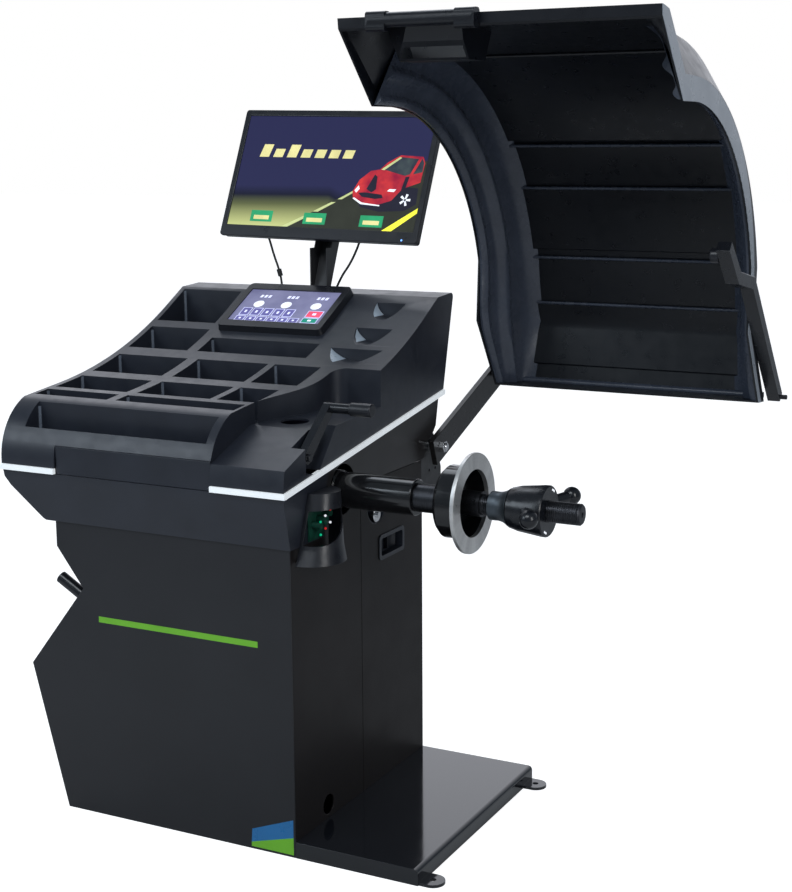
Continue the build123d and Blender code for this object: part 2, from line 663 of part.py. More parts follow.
def make_spindle():
    """The turning shaft with its neck and thread, and the flange that it carries."""
    with BuildPart() as shaft:
        turned(-382, HOUSING_END, BORE_R)
        turned(HOUSING_END + 0.6, FLANGE_BACK, NECK_R)
        turned(HOUSING_END - 1, HOUSING_END + 1, BORE_R)
        turned(FLANGE_BACK, THREAD_START, 24)
        turned(THREAD_START, THREAD_END, THREAD_R)
        chamfer(shaft.edges().filter_by(GeomType.CIRCLE).sort_by(Axis.X)[-1], length=3)
        turned(THREAD_END - 14, THREAD_END, 5, mode=Mode.SUBTRACT)
        add(hoop(NUT_END + 1, NUT_END + 3, THREAD_R + 1, THREAD_R - 0.8), mode=Mode.SUBTRACT)
    save(shaft, "spindle_shaft")
    cup_end = FLANGE_FACE - RING_THICK
    with BuildPart() as hub:
        turned(FLANGE_BACK, cup_end, 68.5)
        chamfer(hub.edges().filter_by(GeomType.CIRCLE).sort_by(Axis.X)[0], length=8)
        turned(FLANGE_BACK + 9, cup_end, RING_BORE_R, mode=Mode.SUBTRACT)
        turned(FLANGE_BACK - 1, cup_end, 24, mode=Mode.SUBTRACT)
    save(hub, "flange_hub")
    with BuildPart() as ring:
        turned(cup_end, FLANGE_FACE, RING_R)
        fillet(ring.edges().filter_by(GeomType.CIRCLE), radius=1.2)
        turned(cup_end - 1, FLANGE_FACE + 1, RING_BORE_R, mode=Mode.SUBTRACT)
        turned(cup_end + 2, FLANGE_FACE + 1, 2.5, SHAFT_Y - 79, SHAFT_Z + 12, mode=Mode.SUBTRACT)
    save(ring, "flange_ring")
    with BuildPart() as pulley:
        turned(*PULLEY_X, SPINDLE_PULLEY_R)
        turned(PULLEY_X[0] - 1, PULLEY_X[1] + 1, BORE_R, mode=Mode.SUBTRACT)
        for x in range(5):
            start = PULLEY_X[0] + 3 + 3.6 * x
            add(hoop(start, start + 1.8, 61, 58), mode=Mode.SUBTRACT)
    save(pulley, "spindle_pulley")
    with BuildPart() as disc:
        turned(DISC_X, DISC_X + 1.5, 48)
        turned(DISC_X - 1, DISC_X + 3, BORE_R, mode=Mode.SUBTRACT)
        for turn in range(36):
            with BuildSketch(across(DISC_X - 1)):
                with Locations((SHAFT_Y, SHAFT_Z)):
                    with PolarLocations(43, 1, start_angle=10 * turn):
                        Rectangle(6, 3)
            extrude(amount=4, mode=Mode.SUBTRACT)
    save(disc, "encoder_disc")
    with BuildPart() as reader:
        block((-400, -330), (192, 212), (742, 750))
        block((-400, -384), (192, 212), (716, 742))
        block((-390, -384), (192, 212), (700, 716))
        block((-372, -368), (192, 212), (712, 742))
        block((-384, -368), (192, 212), (734, 742))
    save(reader, "encoder_reader")


def make_drive():
    """The motor, its pulley and the ribbed belt to the spindle."""
    with BuildPart() as motor:
        turned(-332, -180, 55, MOTOR_Y, MOTOR_Z)
        turned(-340, -332, 28, MOTOR_Y, MOTOR_Z)
        turned(-345, -300, 7 + FIT, MOTOR_Y, MOTOR_Z, mode=Mode.SUBTRACT)
    save(motor, "motor")
    with BuildPart() as pulley:
        turned(*PULLEY_X, MOTOR_PULLEY_R, MOTOR_Y, MOTOR_Z)
        turned(-366, -302, 7, MOTOR_Y, MOTOR_Z)
    save(pulley, "motor_pulley")
    with BuildPart() as belt:
        for grow, mode in ((5.0, Mode.ADD), (0.6, Mode.SUBTRACT)):
            with BuildSketch(across(PULLEY_X[0] + 1)):
                with BuildSketch(mode=Mode.PRIVATE) as loop:
                    with Locations((SHAFT_Y, SHAFT_Z)):
                        Circle(SPINDLE_PULLEY_R + grow)
                    with Locations((MOTOR_Y, MOTOR_Z)):
                        Circle(MOTOR_PULLEY_R + grow)
                make_hull(loop.edges())
            extrude(amount=20, mode=mode)
    save(belt, "drive_belt")


def make_electrics():
    """The control and supply board inside the cabinet, on its four stand-offs."""
    with BuildPart() as board:
        block((-420, -200), (528, 530), (200, 360))
        for x, z in ((-410, 210), (-210, 210), (-410, 350), (-210, 350)):
            block((x - 4, x + 4), (530, 542), (z - 4, z + 4))
        for x, z, w, h, deep in ((-380, 300, 40, 30, 18), (-300, 260, 60, 50, 8), (-240, 320, 24, 40, 26)):
            block((x - w / 2, x + w / 2), (528 - deep, 528), (z - h / 2, z + h / 2))
    save(board, "control_board")


# ---------------------------------------------------------------- quick nut
SLEEVE_R = 27.0
WING_R = 105.0


def make_quick_nut():
    """The quick nut: a sliding sleeve with its pressure cup, and the winged body that turns on it."""
    with BuildPart() as cup:
        with BuildSketch(Plane(origin=place(0, SHAFT_Y, SHAFT_Z), x_dir=(1, 0, 0), z_dir=(0, -1, 0))):
            with BuildLine():
                Line((NUT_START, THREAD_R + FIT), (NUT_START, 27))
                Line((NUT_START, 27), (NUT_START + 10, 27))
                ThreePointArc((NUT_START + 10, 27), (340, 29), (352, 36))
                Line((352, 36), (352, THREAD_R + FIT))
                Line((352, THREAD_R + FIT), (NUT_START, THREAD_R + FIT))
            make_face()
        revolve(axis=Axis(place(0, SHAFT_Y, SHAFT_Z), (1, 0, 0)))
        add(hoop(352, NUT_END - 2, SLEEVE_R, THREAD_R + FIT))
    save(cup, "nut_carriage")
    with BuildPart() as nut:
        with BuildSketch(Plane(origin=place(0, SHAFT_Y, SHAFT_Z), x_dir=(1, 0, 0), z_dir=(0, -1, 0))):
            Polygon((352.6, 0), (352.6, 34), (355, 37.5), (372, 42), (418, 47.5), (425, 47.5), (NUT_END, 45.5), (NUT_END, 0), align=None)
        revolve(axis=Axis(place(0, SHAFT_Y, SHAFT_Z), (1, 0, 0)))
        for side in (-1, 1):
            root = Vector(*place(396, SHAFT_Y + side * 34, SHAFT_Z + 2))
            tip = Vector(*place(430, SHAFT_Y + side * WING_R, SHAFT_Z + 8))
            along = tip - root
            with BuildSketch(Plane(origin=root, z_dir=along)):
                Circle(11)
            extrude(amount=along.length)
            with Locations(tip):
                Sphere(17)
        turned(351, NUT_END - 1.6, SLEEVE_R + FIT, mode=Mode.SUBTRACT)
        turned(351, NUT_END + 1, THREAD_R + 0.6, mode=Mode.SUBTRACT)
    save(nut, "nut_body")


# ---------------------------------------------------------------- wheel hood
HOOD_LEFT, HOOD_RIGHT = 60.0, 650.0
HOOD_DRAFT = 51.0
HOOD_WALL = 4.0
RIM_DEPTH = 45.0
# The mouth's edge and the skin behind it, point for point from the lip round to the bottom.
MOUTH = [(100, 1530), (222, 1399), (300, 1399), (580, 1280), (698, 1085), (690, 956), (791, 803)]
SKIN = [(98, 1548), (240, 1528), (350, 1512), (684, 1362), (855, 1080), (884, 940), (862, 797)]
# The same for the space inside, which runs out past the mouth by HOOD_LEAD.
MOUTH_IN = [(104, 1480), (222, 1340), (300, 1350), (540, 1240), (640, 1085), (630, 940), (740, 807)]
SKIN_IN = [(104, 1544), (240, 1524), (350, 1508), (681, 1359), (851, 1079), (880, 940), (858, 807)]
HOOD_LEAD = 50.0
ARM_ANGLE = 20.8
ARM_X = (13.0, 25.0)
ARM_WIDE = 58.0


def hood_section(x, mouth, skin, depth):
    """A side view of the hood at x, from the mouth's edge to the given depth or to the skin."""
    outer = []
    for m, s in zip(mouth, skin):
        share = min(1, depth / hypot(s[0] - m[0], s[1] - m[1]))
        outer.append((m[0] + share * (s[0] - m[0]), m[1] + share * (s[1] - m[1])))
    with BuildSketch(across(x)) as section:
        with BuildLine():
            Line(outer[0], outer[1])
            Line(outer[1], outer[2])
            ThreePointArc(outer[2], outer[3], outer[4])
            Line(outer[4], outer[5])
            Line(outer[5], outer[6])
            Line(outer[6], mouth[6])
            Line(mouth[6], mouth[5])
            Line(mouth[5], mouth[4])
            ThreePointArc(mouth[4], mouth[3], mouth[2])
            Line(mouth[2], mouth[1])
            Line(mouth[1], mouth[0])
            Line(mouth[0], outer[0])
        make_face()
    return section.sketch.face()


WHOLE = 1000.0
GRIP_X = (124.0, 330.0)
GRIP_BOSS = 37.0
GRIP_TOP = 1556.0
# The hand pocket's outline in x and y at its top and its bottom.
POCKET_TOP = [(105, 190), (200, 108), (290, 108), (290, 250), (105, 250)]
POCKET_FOOT = [(152, 165), (165, 138), (285, 138), (285, 215), (152, 215)]
POCKET_FOOT_Z = 1478.0


def hand_pocket(grow):
    """The hand pocket's space, or with grow its walls as well."""
    with BuildPart() as made:
        for z, outline in ((POCKET_FOOT_Z - grow, POCKET_FOOT), (1560, POCKET_TOP)):
            with BuildSketch(level(z)):
                Polygon(*outline, align=None)
                if grow:
                    offset(amount=grow, kind=Kind.INTERSECTION)
        loft(ruled=True)
    return made.part


def make_hood_shell():
    """The deep hood with drafted side walls, open to the front and below, and its hand pocket."""
    inner = [
        hood_section(HOOD_LEFT + HOOD_WALL, MOUTH_IN, SKIN_IN, RIM_DEPTH + HOOD_LEAD - HOOD_WALL),
        hood_section(HOOD_LEFT + HOOD_DRAFT + HOOD_WALL, MOUTH_IN, SKIN_IN, WHOLE),
        hood_section(HOOD_RIGHT - HOOD_DRAFT - HOOD_WALL, MOUTH_IN, SKIN_IN, WHOLE),
        hood_section(HOOD_RIGHT - HOOD_WALL, MOUTH_IN, SKIN_IN, RIM_DEPTH + HOOD_LEAD - HOOD_WALL),
    ]
    outer = [
        hood_section(HOOD_LEFT, MOUTH, SKIN, RIM_DEPTH),
        hood_section(HOOD_LEFT + HOOD_DRAFT, MOUTH, SKIN, WHOLE),
        hood_section(HOOD_RIGHT - HOOD_DRAFT, MOUTH, SKIN, WHOLE),
        hood_section(HOOD_RIGHT, MOUTH, SKIN, RIM_DEPTH),
    ]
    pocket_space = hand_pocket(0)
    pocket_walls = hand_pocket(HOOD_WALL)
    with BuildPart() as body:
        loft(outer, ruled=True)
    with BuildPart() as space:
        loft(inner, ruled=True)
    with BuildPart() as walls:
        add(pocket_walls)
        add(body.part, mode=Mode.INTERSECT)
    with BuildPart() as shell:
        add(body.part)
        add(space.part, mode=Mode.SUBTRACT)
        add(walls.part)
        add(pocket_space, mode=Mode.SUBTRACT)
        block(GRIP_X, (60, 105.5), (1500, 1600), mode=Mode.SUBTRACT)
    save(shell, "hood_shell")


def make_hood_grip():
    """The round hand bar between its two bosses, let into the hood's lip."""
    with BuildPart() as grip:
        for x in (GRIP_X[0], GRIP_X[1] - GRIP_BOSS):
            block((x, x + GRIP_BOSS), (80, 105), (1522, GRIP_TOP))
        fillet(grip.edges().filter_by(Axis.X), radius=8)
        turned(GRIP_X[0] + 5, GRIP_X[1] - 5, 13, 92, GRIP_TOP - 15)
    save(grip, "hood_grip")


def make_hood_arm():
    """The flat arm from the pivot, and the cross bar that carries the shell."""
    with BuildPart() as arm:
        with BuildSketch(across(ARM_X[0])):
            with Locations(Location((PIVOT_Y, PIVOT_Z), ARM_ANGLE)):
                with Locations((160, 0)):
                    Rectangle(380, ARM_WIDE)
        extrude(amount=ARM_X[1] - ARM_X[0])
        with BuildSketch(across(ARM_X[0])):
            Polygon((864.3, 810), (873.6, 870), (885.6, 870), (876.3, 810), align=None)
        extrude(amount=547)
        turned(ARM_X[0] - 5, ARM_X[1] + 5, PIN_R + FIT, PIVOT_Y, PIVOT_Z, mode=Mode.SUBTRACT)
    save(arm, "hood_arm")


def make_hood_hinge():
    """The bracket behind the cabinet, its pin and its spacer."""
    with BuildPart() as bracket:
        with BuildSketch(across(-12)):
            Polygon((545, 590), (648, 590), (648, 640), (612, 718), (596, 716), (545.2, 668), align=None)
        extrude(amount=7)
        block((-90, -5), (545, 551), (590, 668))
        for y in (591, 620):
            turned(-20, 0, 3.5, y, 641, mode=Mode.SUBTRACT)
        turned(-20, 0, PIN_R, PIVOT_Y, PIVOT_Z, mode=Mode.SUBTRACT)
    save(bracket, "hinge_bracket")
    with BuildPart() as pin:
        turned(-20, 40, PIN_R, PIVOT_Y, PIVOT_Z)
        turned(-20, -12, 12.5, PIVOT_Y, PIVOT_Z)
        chamfer(pin.edges().filter_by(GeomType.CIRCLE).sort_by(Axis.X)[-1], length=1.5)
    save(pin, "hinge_pin")
    with BuildPart() as spacer:
        turned(-5, 12.6, 15, PIVOT_Y, PIVOT_Z)
        turned(-6, 14, PIN_R, PIVOT_Y, PIVOT_Z, mode=Mode.SUBTRACT)
        with BuildSketch(across(25.4)):
            with Locations((PIVOT_Y, PIVOT_Z)):
                RegularPolygon(13, 6)
                Circle(PIN_R, mode=Mode.SUBTRACT)
        extrude(amount=10)
    save(spacer, "hinge_hardware")


def make_width_sensor():
    """The stepped bar on the hood's right edge and the sonar head that it points inward."""
    with BuildPart() as bar:
        with BuildSketch(across(HOOD_RIGHT)):
            Polygon(
                (866, 796), (884, 812), (632, 1074), (528, 1092), (458, 1152), (442, 1136),
                (514, 1070), (618, 1052), align=None,
            )
        extrude(amount=26)
        turned(HOOD_RIGHT + 26, HOOD_RIGHT + 40, 5, 868, 806)
    save(bar, "sensor_bar")
    with BuildPart() as head:
        turned(634, HOOD_RIGHT, 14, 470, 1125)
        chamfer(head.edges().filter_by(GeomType.CIRCLE).sort_by(Axis.X)[0], length=2)
    save(head, "sonar_head")


# ---------------------------------------------------------------- monitor
POST_X = (-315.0, -271.0)
POST_Y = 628.0
POST_WEB_DEEP = 12.0
MONITOR_DEEP = 40.0
TRAY_LEDGE_Z = 1014.0
CORD_R = 2.5
CORD_Y = 665.0
# Both cords' routes in x and z, from the plug behind the monitor to the grommet on the cover.
CORD_LEFT = [(-450, 1143), (-441, 1120), (-431, 1087), (-419, 1057), (-412.5, 1035), (-411, 1019.5)]
CORD_RIGHT = [(-202, 1143), (-208, 1123), (-221, 1094), (-236, 1068), (-256, 1043), (-268, 1019.5)]


def screen_plane(lift=0.0):
    """The tilted plane of the monitor's front, its y up the screen."""
    tilt, roll = radians(SCREEN_TILT), radians(SCREEN_ROLL)
    up = Vector(0, sin(tilt), cos(tilt))
    right = Vector(1, 0, 0) * cos(roll) + up * sin(roll)
    normal = Vector(0, -cos(tilt), sin(tilt))
    middle = Vector(*place(*SCREEN_CENTRE)) + normal * lift
    return Plane(origin=middle, x_dir=right, z_dir=normal)


def make_monitor():
    """The monitor in three layers and the folded channel that holds it up."""
    with BuildPart() as rear:
        with BuildSketch(screen_plane(-22)):
            RectangleRounded(SCREEN_W - 6, SCREEN_H - 6, 6)
        extrude(amount=14)
        with BuildSketch(screen_plane(-22)):
            RectangleRounded(SCREEN_W - 120, SCREEN_H - 100, 20)
        extrude(amount=-18, taper=25)
        with BuildSketch(screen_plane(-42)):
            with GridLocations(100, 100, 2, 2):
                Circle(2.1)
        extrude(amount=12, mode=Mode.SUBTRACT)
    save(rear, "monitor_rear")
    with BuildPart() as bezel:
        with BuildSketch(screen_plane(-8)):
            RectangleRounded(SCREEN_W, SCREEN_H, 7)
            with Locations((0, 6)):
                Rectangle(SCREEN_W - 26, SCREEN_H - 40, mode=Mode.SUBTRACT)
        extrude(amount=8)
    save(bezel, "monitor_bezel")
    with BuildPart() as panel:
        with BuildSketch(screen_plane(-8)):
            with Locations((0, 6)):
                Rectangle(SCREEN_W - 26.4, SCREEN_H - 40.4)
        extrude(amount=5.5)
    save(panel, "monitor_panel")
    top_z = SCREEN_CENTRE[2] + 62
    lean = tan(radians(SCREEN_TILT))
    rear_y = SCREEN_CENTRE[1] + MONITOR_DEEP / cos(radians(SCREEN_TILT))
    foot_z = TRAY_LEDGE_Z - 0.2
    neck_z = 1106.0
    web_y = POST_Y + POST_WEB_DEEP

    def behind(z):
        """Where the monitor's back is at this height."""
        return rear_y + lean * (z - SCREEN_CENTRE[2])

    web_top = web_y + lean * (top_z - foot_z)
    with BuildPart() as post:
        with BuildSketch(across(POST_X[0])):
            Polygon(
                (POST_Y, foot_z),
                (POST_Y, neck_z),
                (behind(neck_z), neck_z),
                (behind(top_z), top_z),
                (web_top, top_z),
                (web_y, foot_z),
                align=None,
            )
        extrude(amount=POST_X[1] - POST_X[0])
        with BuildSketch(across(POST_X[0] + SHEET)):
            Polygon(
                (POST_Y - 50, foot_z - 10),
                (POST_Y - 50, top_z + 10),
                (web_top + 10 * lean - 3.3, top_z + 10),
                (web_y - 10 * lean - 3.3, foot_z - 10),
                align=None,
            )
        extrude(amount=POST_X[1] - POST_X[0] - 2 * SHEET, mode=Mode.SUBTRACT)
        block((POST_X[0] - 22, POST_X[1]), (POST_Y, POST_Y + 26), (foot_z + 1, foot_z + 4))
        with BuildSketch(screen_plane(-MONITOR_DEEP)):
            Rectangle(110, 110)
        extrude(amount=-4)
    save(post, "monitor_post")


def make_cord(name, route):
    """One thin cord in straight runs joined by arcs as large as the runs allow."""
    points = [Vector(*place(x, CORD_Y, z)) for x, z in route]
    radii = []
    for before, at, after in zip(points, points[1:], points[2:]):
        turn = radians((at - before).get_angle(after - at))
        shorter = min((at - before).length, (after - at).length)
        radii.append(0.45 * shorter / tan(turn / 2))
    print(name, "radii", [round(r, 1) for r in radii])
    with BuildPart() as cord:
        with BuildLine():
            path = FilletPolyline(*points, radius=radii)
        with BuildSketch(Plane(origin=path @ 0, z_dir=path % 0)):
            Circle(CORD_R)
        sweep(path=path)
    save(cord, name)


def make_cord_fittings():
    """The cords' plugs behind the monitor, their grommets on the cover and one cord's ferrite."""
    with BuildPart() as fittings:
        for route in (CORD_LEFT, CORD_RIGHT):
            start = Vector(*place(route[0][0], CORD_Y, route[0][1]))
            following = Vector(*place(route[1][0], CORD_Y, route[1][1]))
            with BuildSketch(Plane(origin=start, z_dir=start - following)):
                Circle(6)
            extrude(amount=16)
            with BuildSketch(level(TRAY_LEDGE_Z + 0.8)):
                with Locations((route[-1][0], CORD_Y)):
                    Circle(6)
            extrude(amount=route[-1][1] - TRAY_LEDGE_Z - 0.8)
        upper = Vector(*place(CORD_LEFT[3][0], CORD_Y, CORD_LEFT[3][1]))
        lower = Vector(*place(CORD_LEFT[4][0], CORD_Y, CORD_LEFT[4][1]))
        with BuildSketch(Plane(origin=upper + (lower - upper) * 0.15, z_dir=lower - upper)):
            Circle(5.5)
            Circle(CORD_R + 0.4, mode=Mode.SUBTRACT)
        extrude(amount=16)
    save(fittings, "cord_fittings")


make_front_and_back()
make_left_panel()
make_right_panels()
make_upper_sheets()
make_floor()
make_platform()
make_cone_pegs()
make_side_fittings()
make_skirt()
make_trim()
make_nose_panel()
make_tray()
make_display()
make_gauge()
make_lamp()
make_housing()
make_spindle()
make_drive()
make_electrics()
make_quick_nut()
make_hood_shell()
make_hood_grip()
make_hood_arm()
make_hood_hinge()
make_width_sensor()
make_monitor()
make_cord("cord_left", CORD_LEFT)
make_cord("cord_right", CORD_RIGHT)
make_cord_fittings()
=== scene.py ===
import json
import math

import bmesh
import bpy
from mathutils import Matrix, Vector

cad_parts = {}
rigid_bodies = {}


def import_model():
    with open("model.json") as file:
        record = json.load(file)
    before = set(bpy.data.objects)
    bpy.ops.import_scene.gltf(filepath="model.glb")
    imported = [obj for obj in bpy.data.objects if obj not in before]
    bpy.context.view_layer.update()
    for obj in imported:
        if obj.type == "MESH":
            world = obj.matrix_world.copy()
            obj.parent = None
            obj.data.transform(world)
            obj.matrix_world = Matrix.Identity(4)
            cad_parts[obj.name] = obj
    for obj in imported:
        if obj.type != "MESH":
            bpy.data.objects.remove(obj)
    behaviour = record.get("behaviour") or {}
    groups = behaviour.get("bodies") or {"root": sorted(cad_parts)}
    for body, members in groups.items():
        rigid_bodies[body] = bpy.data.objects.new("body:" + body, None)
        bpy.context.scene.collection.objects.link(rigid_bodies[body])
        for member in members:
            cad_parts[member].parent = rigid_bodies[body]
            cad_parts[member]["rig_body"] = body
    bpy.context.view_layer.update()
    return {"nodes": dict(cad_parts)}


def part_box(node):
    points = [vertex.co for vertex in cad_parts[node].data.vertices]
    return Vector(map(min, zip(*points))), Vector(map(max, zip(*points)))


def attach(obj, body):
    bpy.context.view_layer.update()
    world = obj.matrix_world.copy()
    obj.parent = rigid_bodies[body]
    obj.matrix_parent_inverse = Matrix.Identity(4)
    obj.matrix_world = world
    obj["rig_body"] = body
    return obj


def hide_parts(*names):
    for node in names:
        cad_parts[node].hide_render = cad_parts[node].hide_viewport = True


for left_over in list(bpy.data.objects):
    bpy.data.objects.remove(left_over)
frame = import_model()
NODES = frame["nodes"]

# The cabinet's right side face and front face, in millimetres in the part's frame.
SIDE_X, FRONT_Y = -20.0, -447.24
SHAFT = (202.0, 677.0)


def mm(x, y, z):
    """A point given in millimetres from the cabinet's faces and the floor."""
    return Vector(((x + SIDE_X) / 1000, (y + FRONT_Y) / 1000, z / 1000))


# ------------------------------------------------------------------ camera
def make_camera():
    """A view from the front and the right, a little above."""
    yaw, pitch, roll = math.radians(27.34), math.radians(10.96), math.radians(-0.4)
    ahead = Vector((-math.sin(yaw) * math.cos(pitch), math.cos(yaw) * math.cos(pitch), -math.sin(pitch)))
    right = ahead.cross(Vector((0, 0, 1))).normalized()
    up = right.cross(ahead)
    turned_right = right * math.cos(roll) + up * math.sin(roll)
    turned_up = up * math.cos(roll) - right * math.sin(roll)
    data = bpy.data.cameras.new("camera")
    data.lens = 63.86
    data.sensor_width = 36.0
    camera = bpy.data.objects.new("camera", data)
    turn = Matrix((turned_right, turned_up, -ahead)).transposed().to_4x4()
    camera.matrix_world = Matrix.Translation((1.44087, -2.84644, 1.33896)) @ turn
    bpy.context.scene.collection.objects.link(camera)
    bpy.context.scene.camera = camera


make_camera()


# ------------------------------------------------------------------ materials
class Nodes:
    """A short way to add nodes to a material."""

    def __init__(self, name):
        self.material = bpy.data.materials.new(name)
        self.material.use_nodes = True
        self.tree = self.material.node_tree
        self.bsdf = self.tree.nodes["Principled BSDF"]
        self.place = self.add("ShaderNodeTexCoord").outputs["Object"]

    def add(self, kind, **values):
        node = self.tree.nodes.new(kind)
        for key, value in values.items():
            setattr(node, key, value)
        return node

    def link(self, a, b):
        self.tree.links.new(a, b)

    def noise(self, scale, detail=3.0, stretch=None, rough=0.5):
        node = self.add("ShaderNodeTexNoise")
        node.inputs["Scale"].default_value = scale
        node.inputs["Detail"].default_value = detail
        node.inputs["Roughness"].default_value = rough
        if stretch:
            mapping = self.add("ShaderNodeMapping")
            mapping.inputs["Scale"].default_value = stretch
            self.link(self.place, mapping.inputs["Vector"])
            self.link(mapping.outputs["Vector"], node.inputs["Vector"])
        else:
            self.link(self.place, node.inputs["Vector"])
        return node.outputs["Fac"]

    def spread(self, source, low, high, source_low=0.3, source_high=0.7):
        node = self.add("ShaderNodeMapRange")
        node.inputs["From Min"].default_value = source_low
        node.inputs["From Max"].default_value = source_high
        node.inputs["To Min"].default_value = low
        node.inputs["To Max"].default_value = high
        self.link(source, node.inputs["Value"])
        return node.outputs["Result"]

    def shades(self, source, low, high, source_low=0.3, source_high=0.7):
        node = self.add("ShaderNodeValToRGB")
        first, last = node.color_ramp.elements
        first.position, last.position = source_low, source_high
        first.color, last.color = (*low, 1), (*high, 1)
        self.link(source, node.inputs["Fac"])
        return node.outputs["Color"]

    def bump(self, source, strength, distance=0.0005):
        node = self.add("ShaderNodeBump")
        node.inputs["Strength"].default_value = strength
        node.inputs["Distance"].default_value = distance
        self.link(source, node.inputs["Height"])
        previous = self.bsdf.inputs["Normal"]
        if previous.is_linked:
            self.link(previous.links[0].from_socket, node.inputs["Normal"])
        self.link(node.outputs["Normal"], previous)


def scaled(colour, factor):
    """A colour made lighter or darker, no brighter than white."""
    return tuple(min(1.0, c * factor) for c in colour)


def finish_of(name, colour, rough=(0.3, 0.45), grain=None, mottle=0.12, metal=0.0, coat=0.0, spec=0.5,
              patch=14.0):
    """Paint or plastic: faint mottling, uneven gloss and, with grain, a fine moulded texture."""
    n = Nodes(name)
    broad = n.noise(patch, 4.0)
    tint = n.shades(broad, scaled(colour, 1 - mottle), scaled(colour, 1 + mottle))
    n.link(tint, n.bsdf.inputs["Base Color"])
    n.link(n.spread(n.noise(patch * 3, 5.0), *rough), n.bsdf.inputs["Roughness"])
    n.bsdf.inputs["Metallic"].default_value = metal
    n.bsdf.inputs["Specular IOR Level"].default_value = spec
    n.bsdf.inputs["Coat Weight"].default_value = coat
    n.bsdf.inputs["Coat Roughness"].default_value = 0.08
    if grain:
        n.bump(n.noise(grain[0], 2.0), grain[1], grain[2] if len(grain) > 2 else 0.0004)
    return n.material


def brushed(name, colour, rough=(0.22, 0.4), lines=(900.0, 30.0, 30.0), strength=0.25):
    """Bare metal with fine lines along two of its axes."""
    n = Nodes(name)
    fine = n.noise(1.0, 4.0, stretch=lines, rough=0.7)
    n.link(n.shades(fine, scaled(colour, 0.8), scaled(colour, 1.12)), n.bsdf.inputs["Base Color"])
    n.link(n.spread(n.noise(40.0, 4.0), *rough), n.bsdf.inputs["Roughness"])
    n.bsdf.inputs["Metallic"].default_value = 1.0
    n.bump(fine, strength, 0.0002)
    return n.material


def add_painted_glow(material, colour, power):
    """Adds a faint emission to a finished material: painted light for a strip that the studio light washes
    over.
    """
    bsdf = material.node_tree.nodes["Principled BSDF"]
    bsdf.inputs["Emission Color"].default_value = (*colour, 1)
    bsdf.inputs["Emission Strength"].default_value = power


def lit(name, colour, power=1.0, colour_to=None, scale=30.0):
    """A printed or lit patch with a faint mottle and a glassy front."""
    n = Nodes(name)
    tint = n.shades(n.noise(scale), scaled(colour, 0.88), colour_to or scaled(colour, 1.08))
    n.link(tint, n.bsdf.inputs["Emission Color"])
    n.bsdf.inputs["Emission Strength"].default_value = power
    n.link(tint, n.bsdf.inputs["Base Color"])
    n.bsdf.inputs["Roughness"].default_value = 0.3
    n.bsdf.inputs["Specular IOR Level"].default_value = 0.2
    return n.material


CABINET = finish_of("cabinet_paint", (0.013, 0.0135, 0.0165), (0.28, 0.36), grain=(700.0, 0.10), patch=6.0)
# The side panels share the cabinet's real paint: their brown tint is a painted warm reflection, and the lower
# panels' copy is darker and less glossy.
LOWER_SIDE = finish_of("lower_side_paint", (0.0115, 0.0095, 0.0095), (0.34, 0.42), grain=(700.0, 0.12),
                       patch=5.0, spec=0.16)
SIDE = finish_of("side_paint_warm_reflection", (0.0125, 0.0108, 0.0108), (0.30, 0.38), grain=(700.0, 0.12), patch=5.0)
FRAME_PAINT = finish_of("frame_paint", (0.02, 0.02, 0.022), (0.35, 0.5), grain=(500.0, 0.15))
PLATFORM = finish_of("platform_paint", (0.008, 0.009, 0.012), (0.05, 0.10), grain=(60.0, 0.03),
                     patch=5.0, coat=0.4)
MOULDED = finish_of("moulded_plastic", (0.018, 0.021, 0.030), (0.30, 0.40), grain=(700.0, 0.05, 0.0005))
SATIN = finish_of("satin_plastic", (0.011, 0.012, 0.016), (0.27, 0.38), grain=(700.0, 0.06))
BLACK = finish_of("black_plastic", (0.008, 0.009, 0.012), (0.18, 0.30), grain=(500.0, 0.04))
WHITE = finish_of("white_trim", (0.86, 0.90, 0.92), (0.25, 0.35), mottle=0.03)
HOUSING = finish_of("housing_paint", (0.008, 0.008, 0.009), (0.10, 0.2), grain=(250.0, 0.03), coat=0.3)
MOTOR = finish_of("motor_paint", (0.05, 0.055, 0.06), (0.35, 0.5), grain=(300.0, 0.2))
ARM = finish_of("arm_paint", (0.0081, 0.0074, 0.0072), (0.25, 0.36), grain=(600.0, 0.12))
HOOD = finish_of("hood_plastic", (0.0045, 0.0055, 0.0085), (0.26, 0.36), grain=(500.0, 0.06))
RUBBER = finish_of("rubber", (0.012, 0.012, 0.012), (0.5, 0.65), grain=(900.0, 0.2))
BOARD = finish_of("circuit_board", (0.006, 0.055, 0.035), (0.3, 0.5), grain=(600.0, 0.3),
                  mottle=0.5, patch=90.0)
CHROME = brushed("bright_steel", (0.72, 0.72, 0.73), (0.1, 0.22), strength=0.08)
STEEL = brushed("brushed_steel", (0.50, 0.50, 0.51), (0.25, 0.42))
ALUMINIUM = brushed("aluminium", (0.66, 0.66, 0.68), (0.3, 0.45))
NUT_GREY = brushed("nut_grey", (0.12, 0.14, 0.16), (0.38, 0.5), strength=0.2)
GREEN = finish_of("stripe_green", (0.19, 0.56, 0.03), (0.3, 0.4), mottle=0.05)
BLUE = finish_of("corner_blue", (0.02, 0.17, 0.42), (0.25, 0.35), mottle=0.06)

# The white trim's faint emission is painted light that brightens the strip; it is no lamp.
add_painted_glow(WHITE, (0.95, 0.98, 1.0), 0.32)

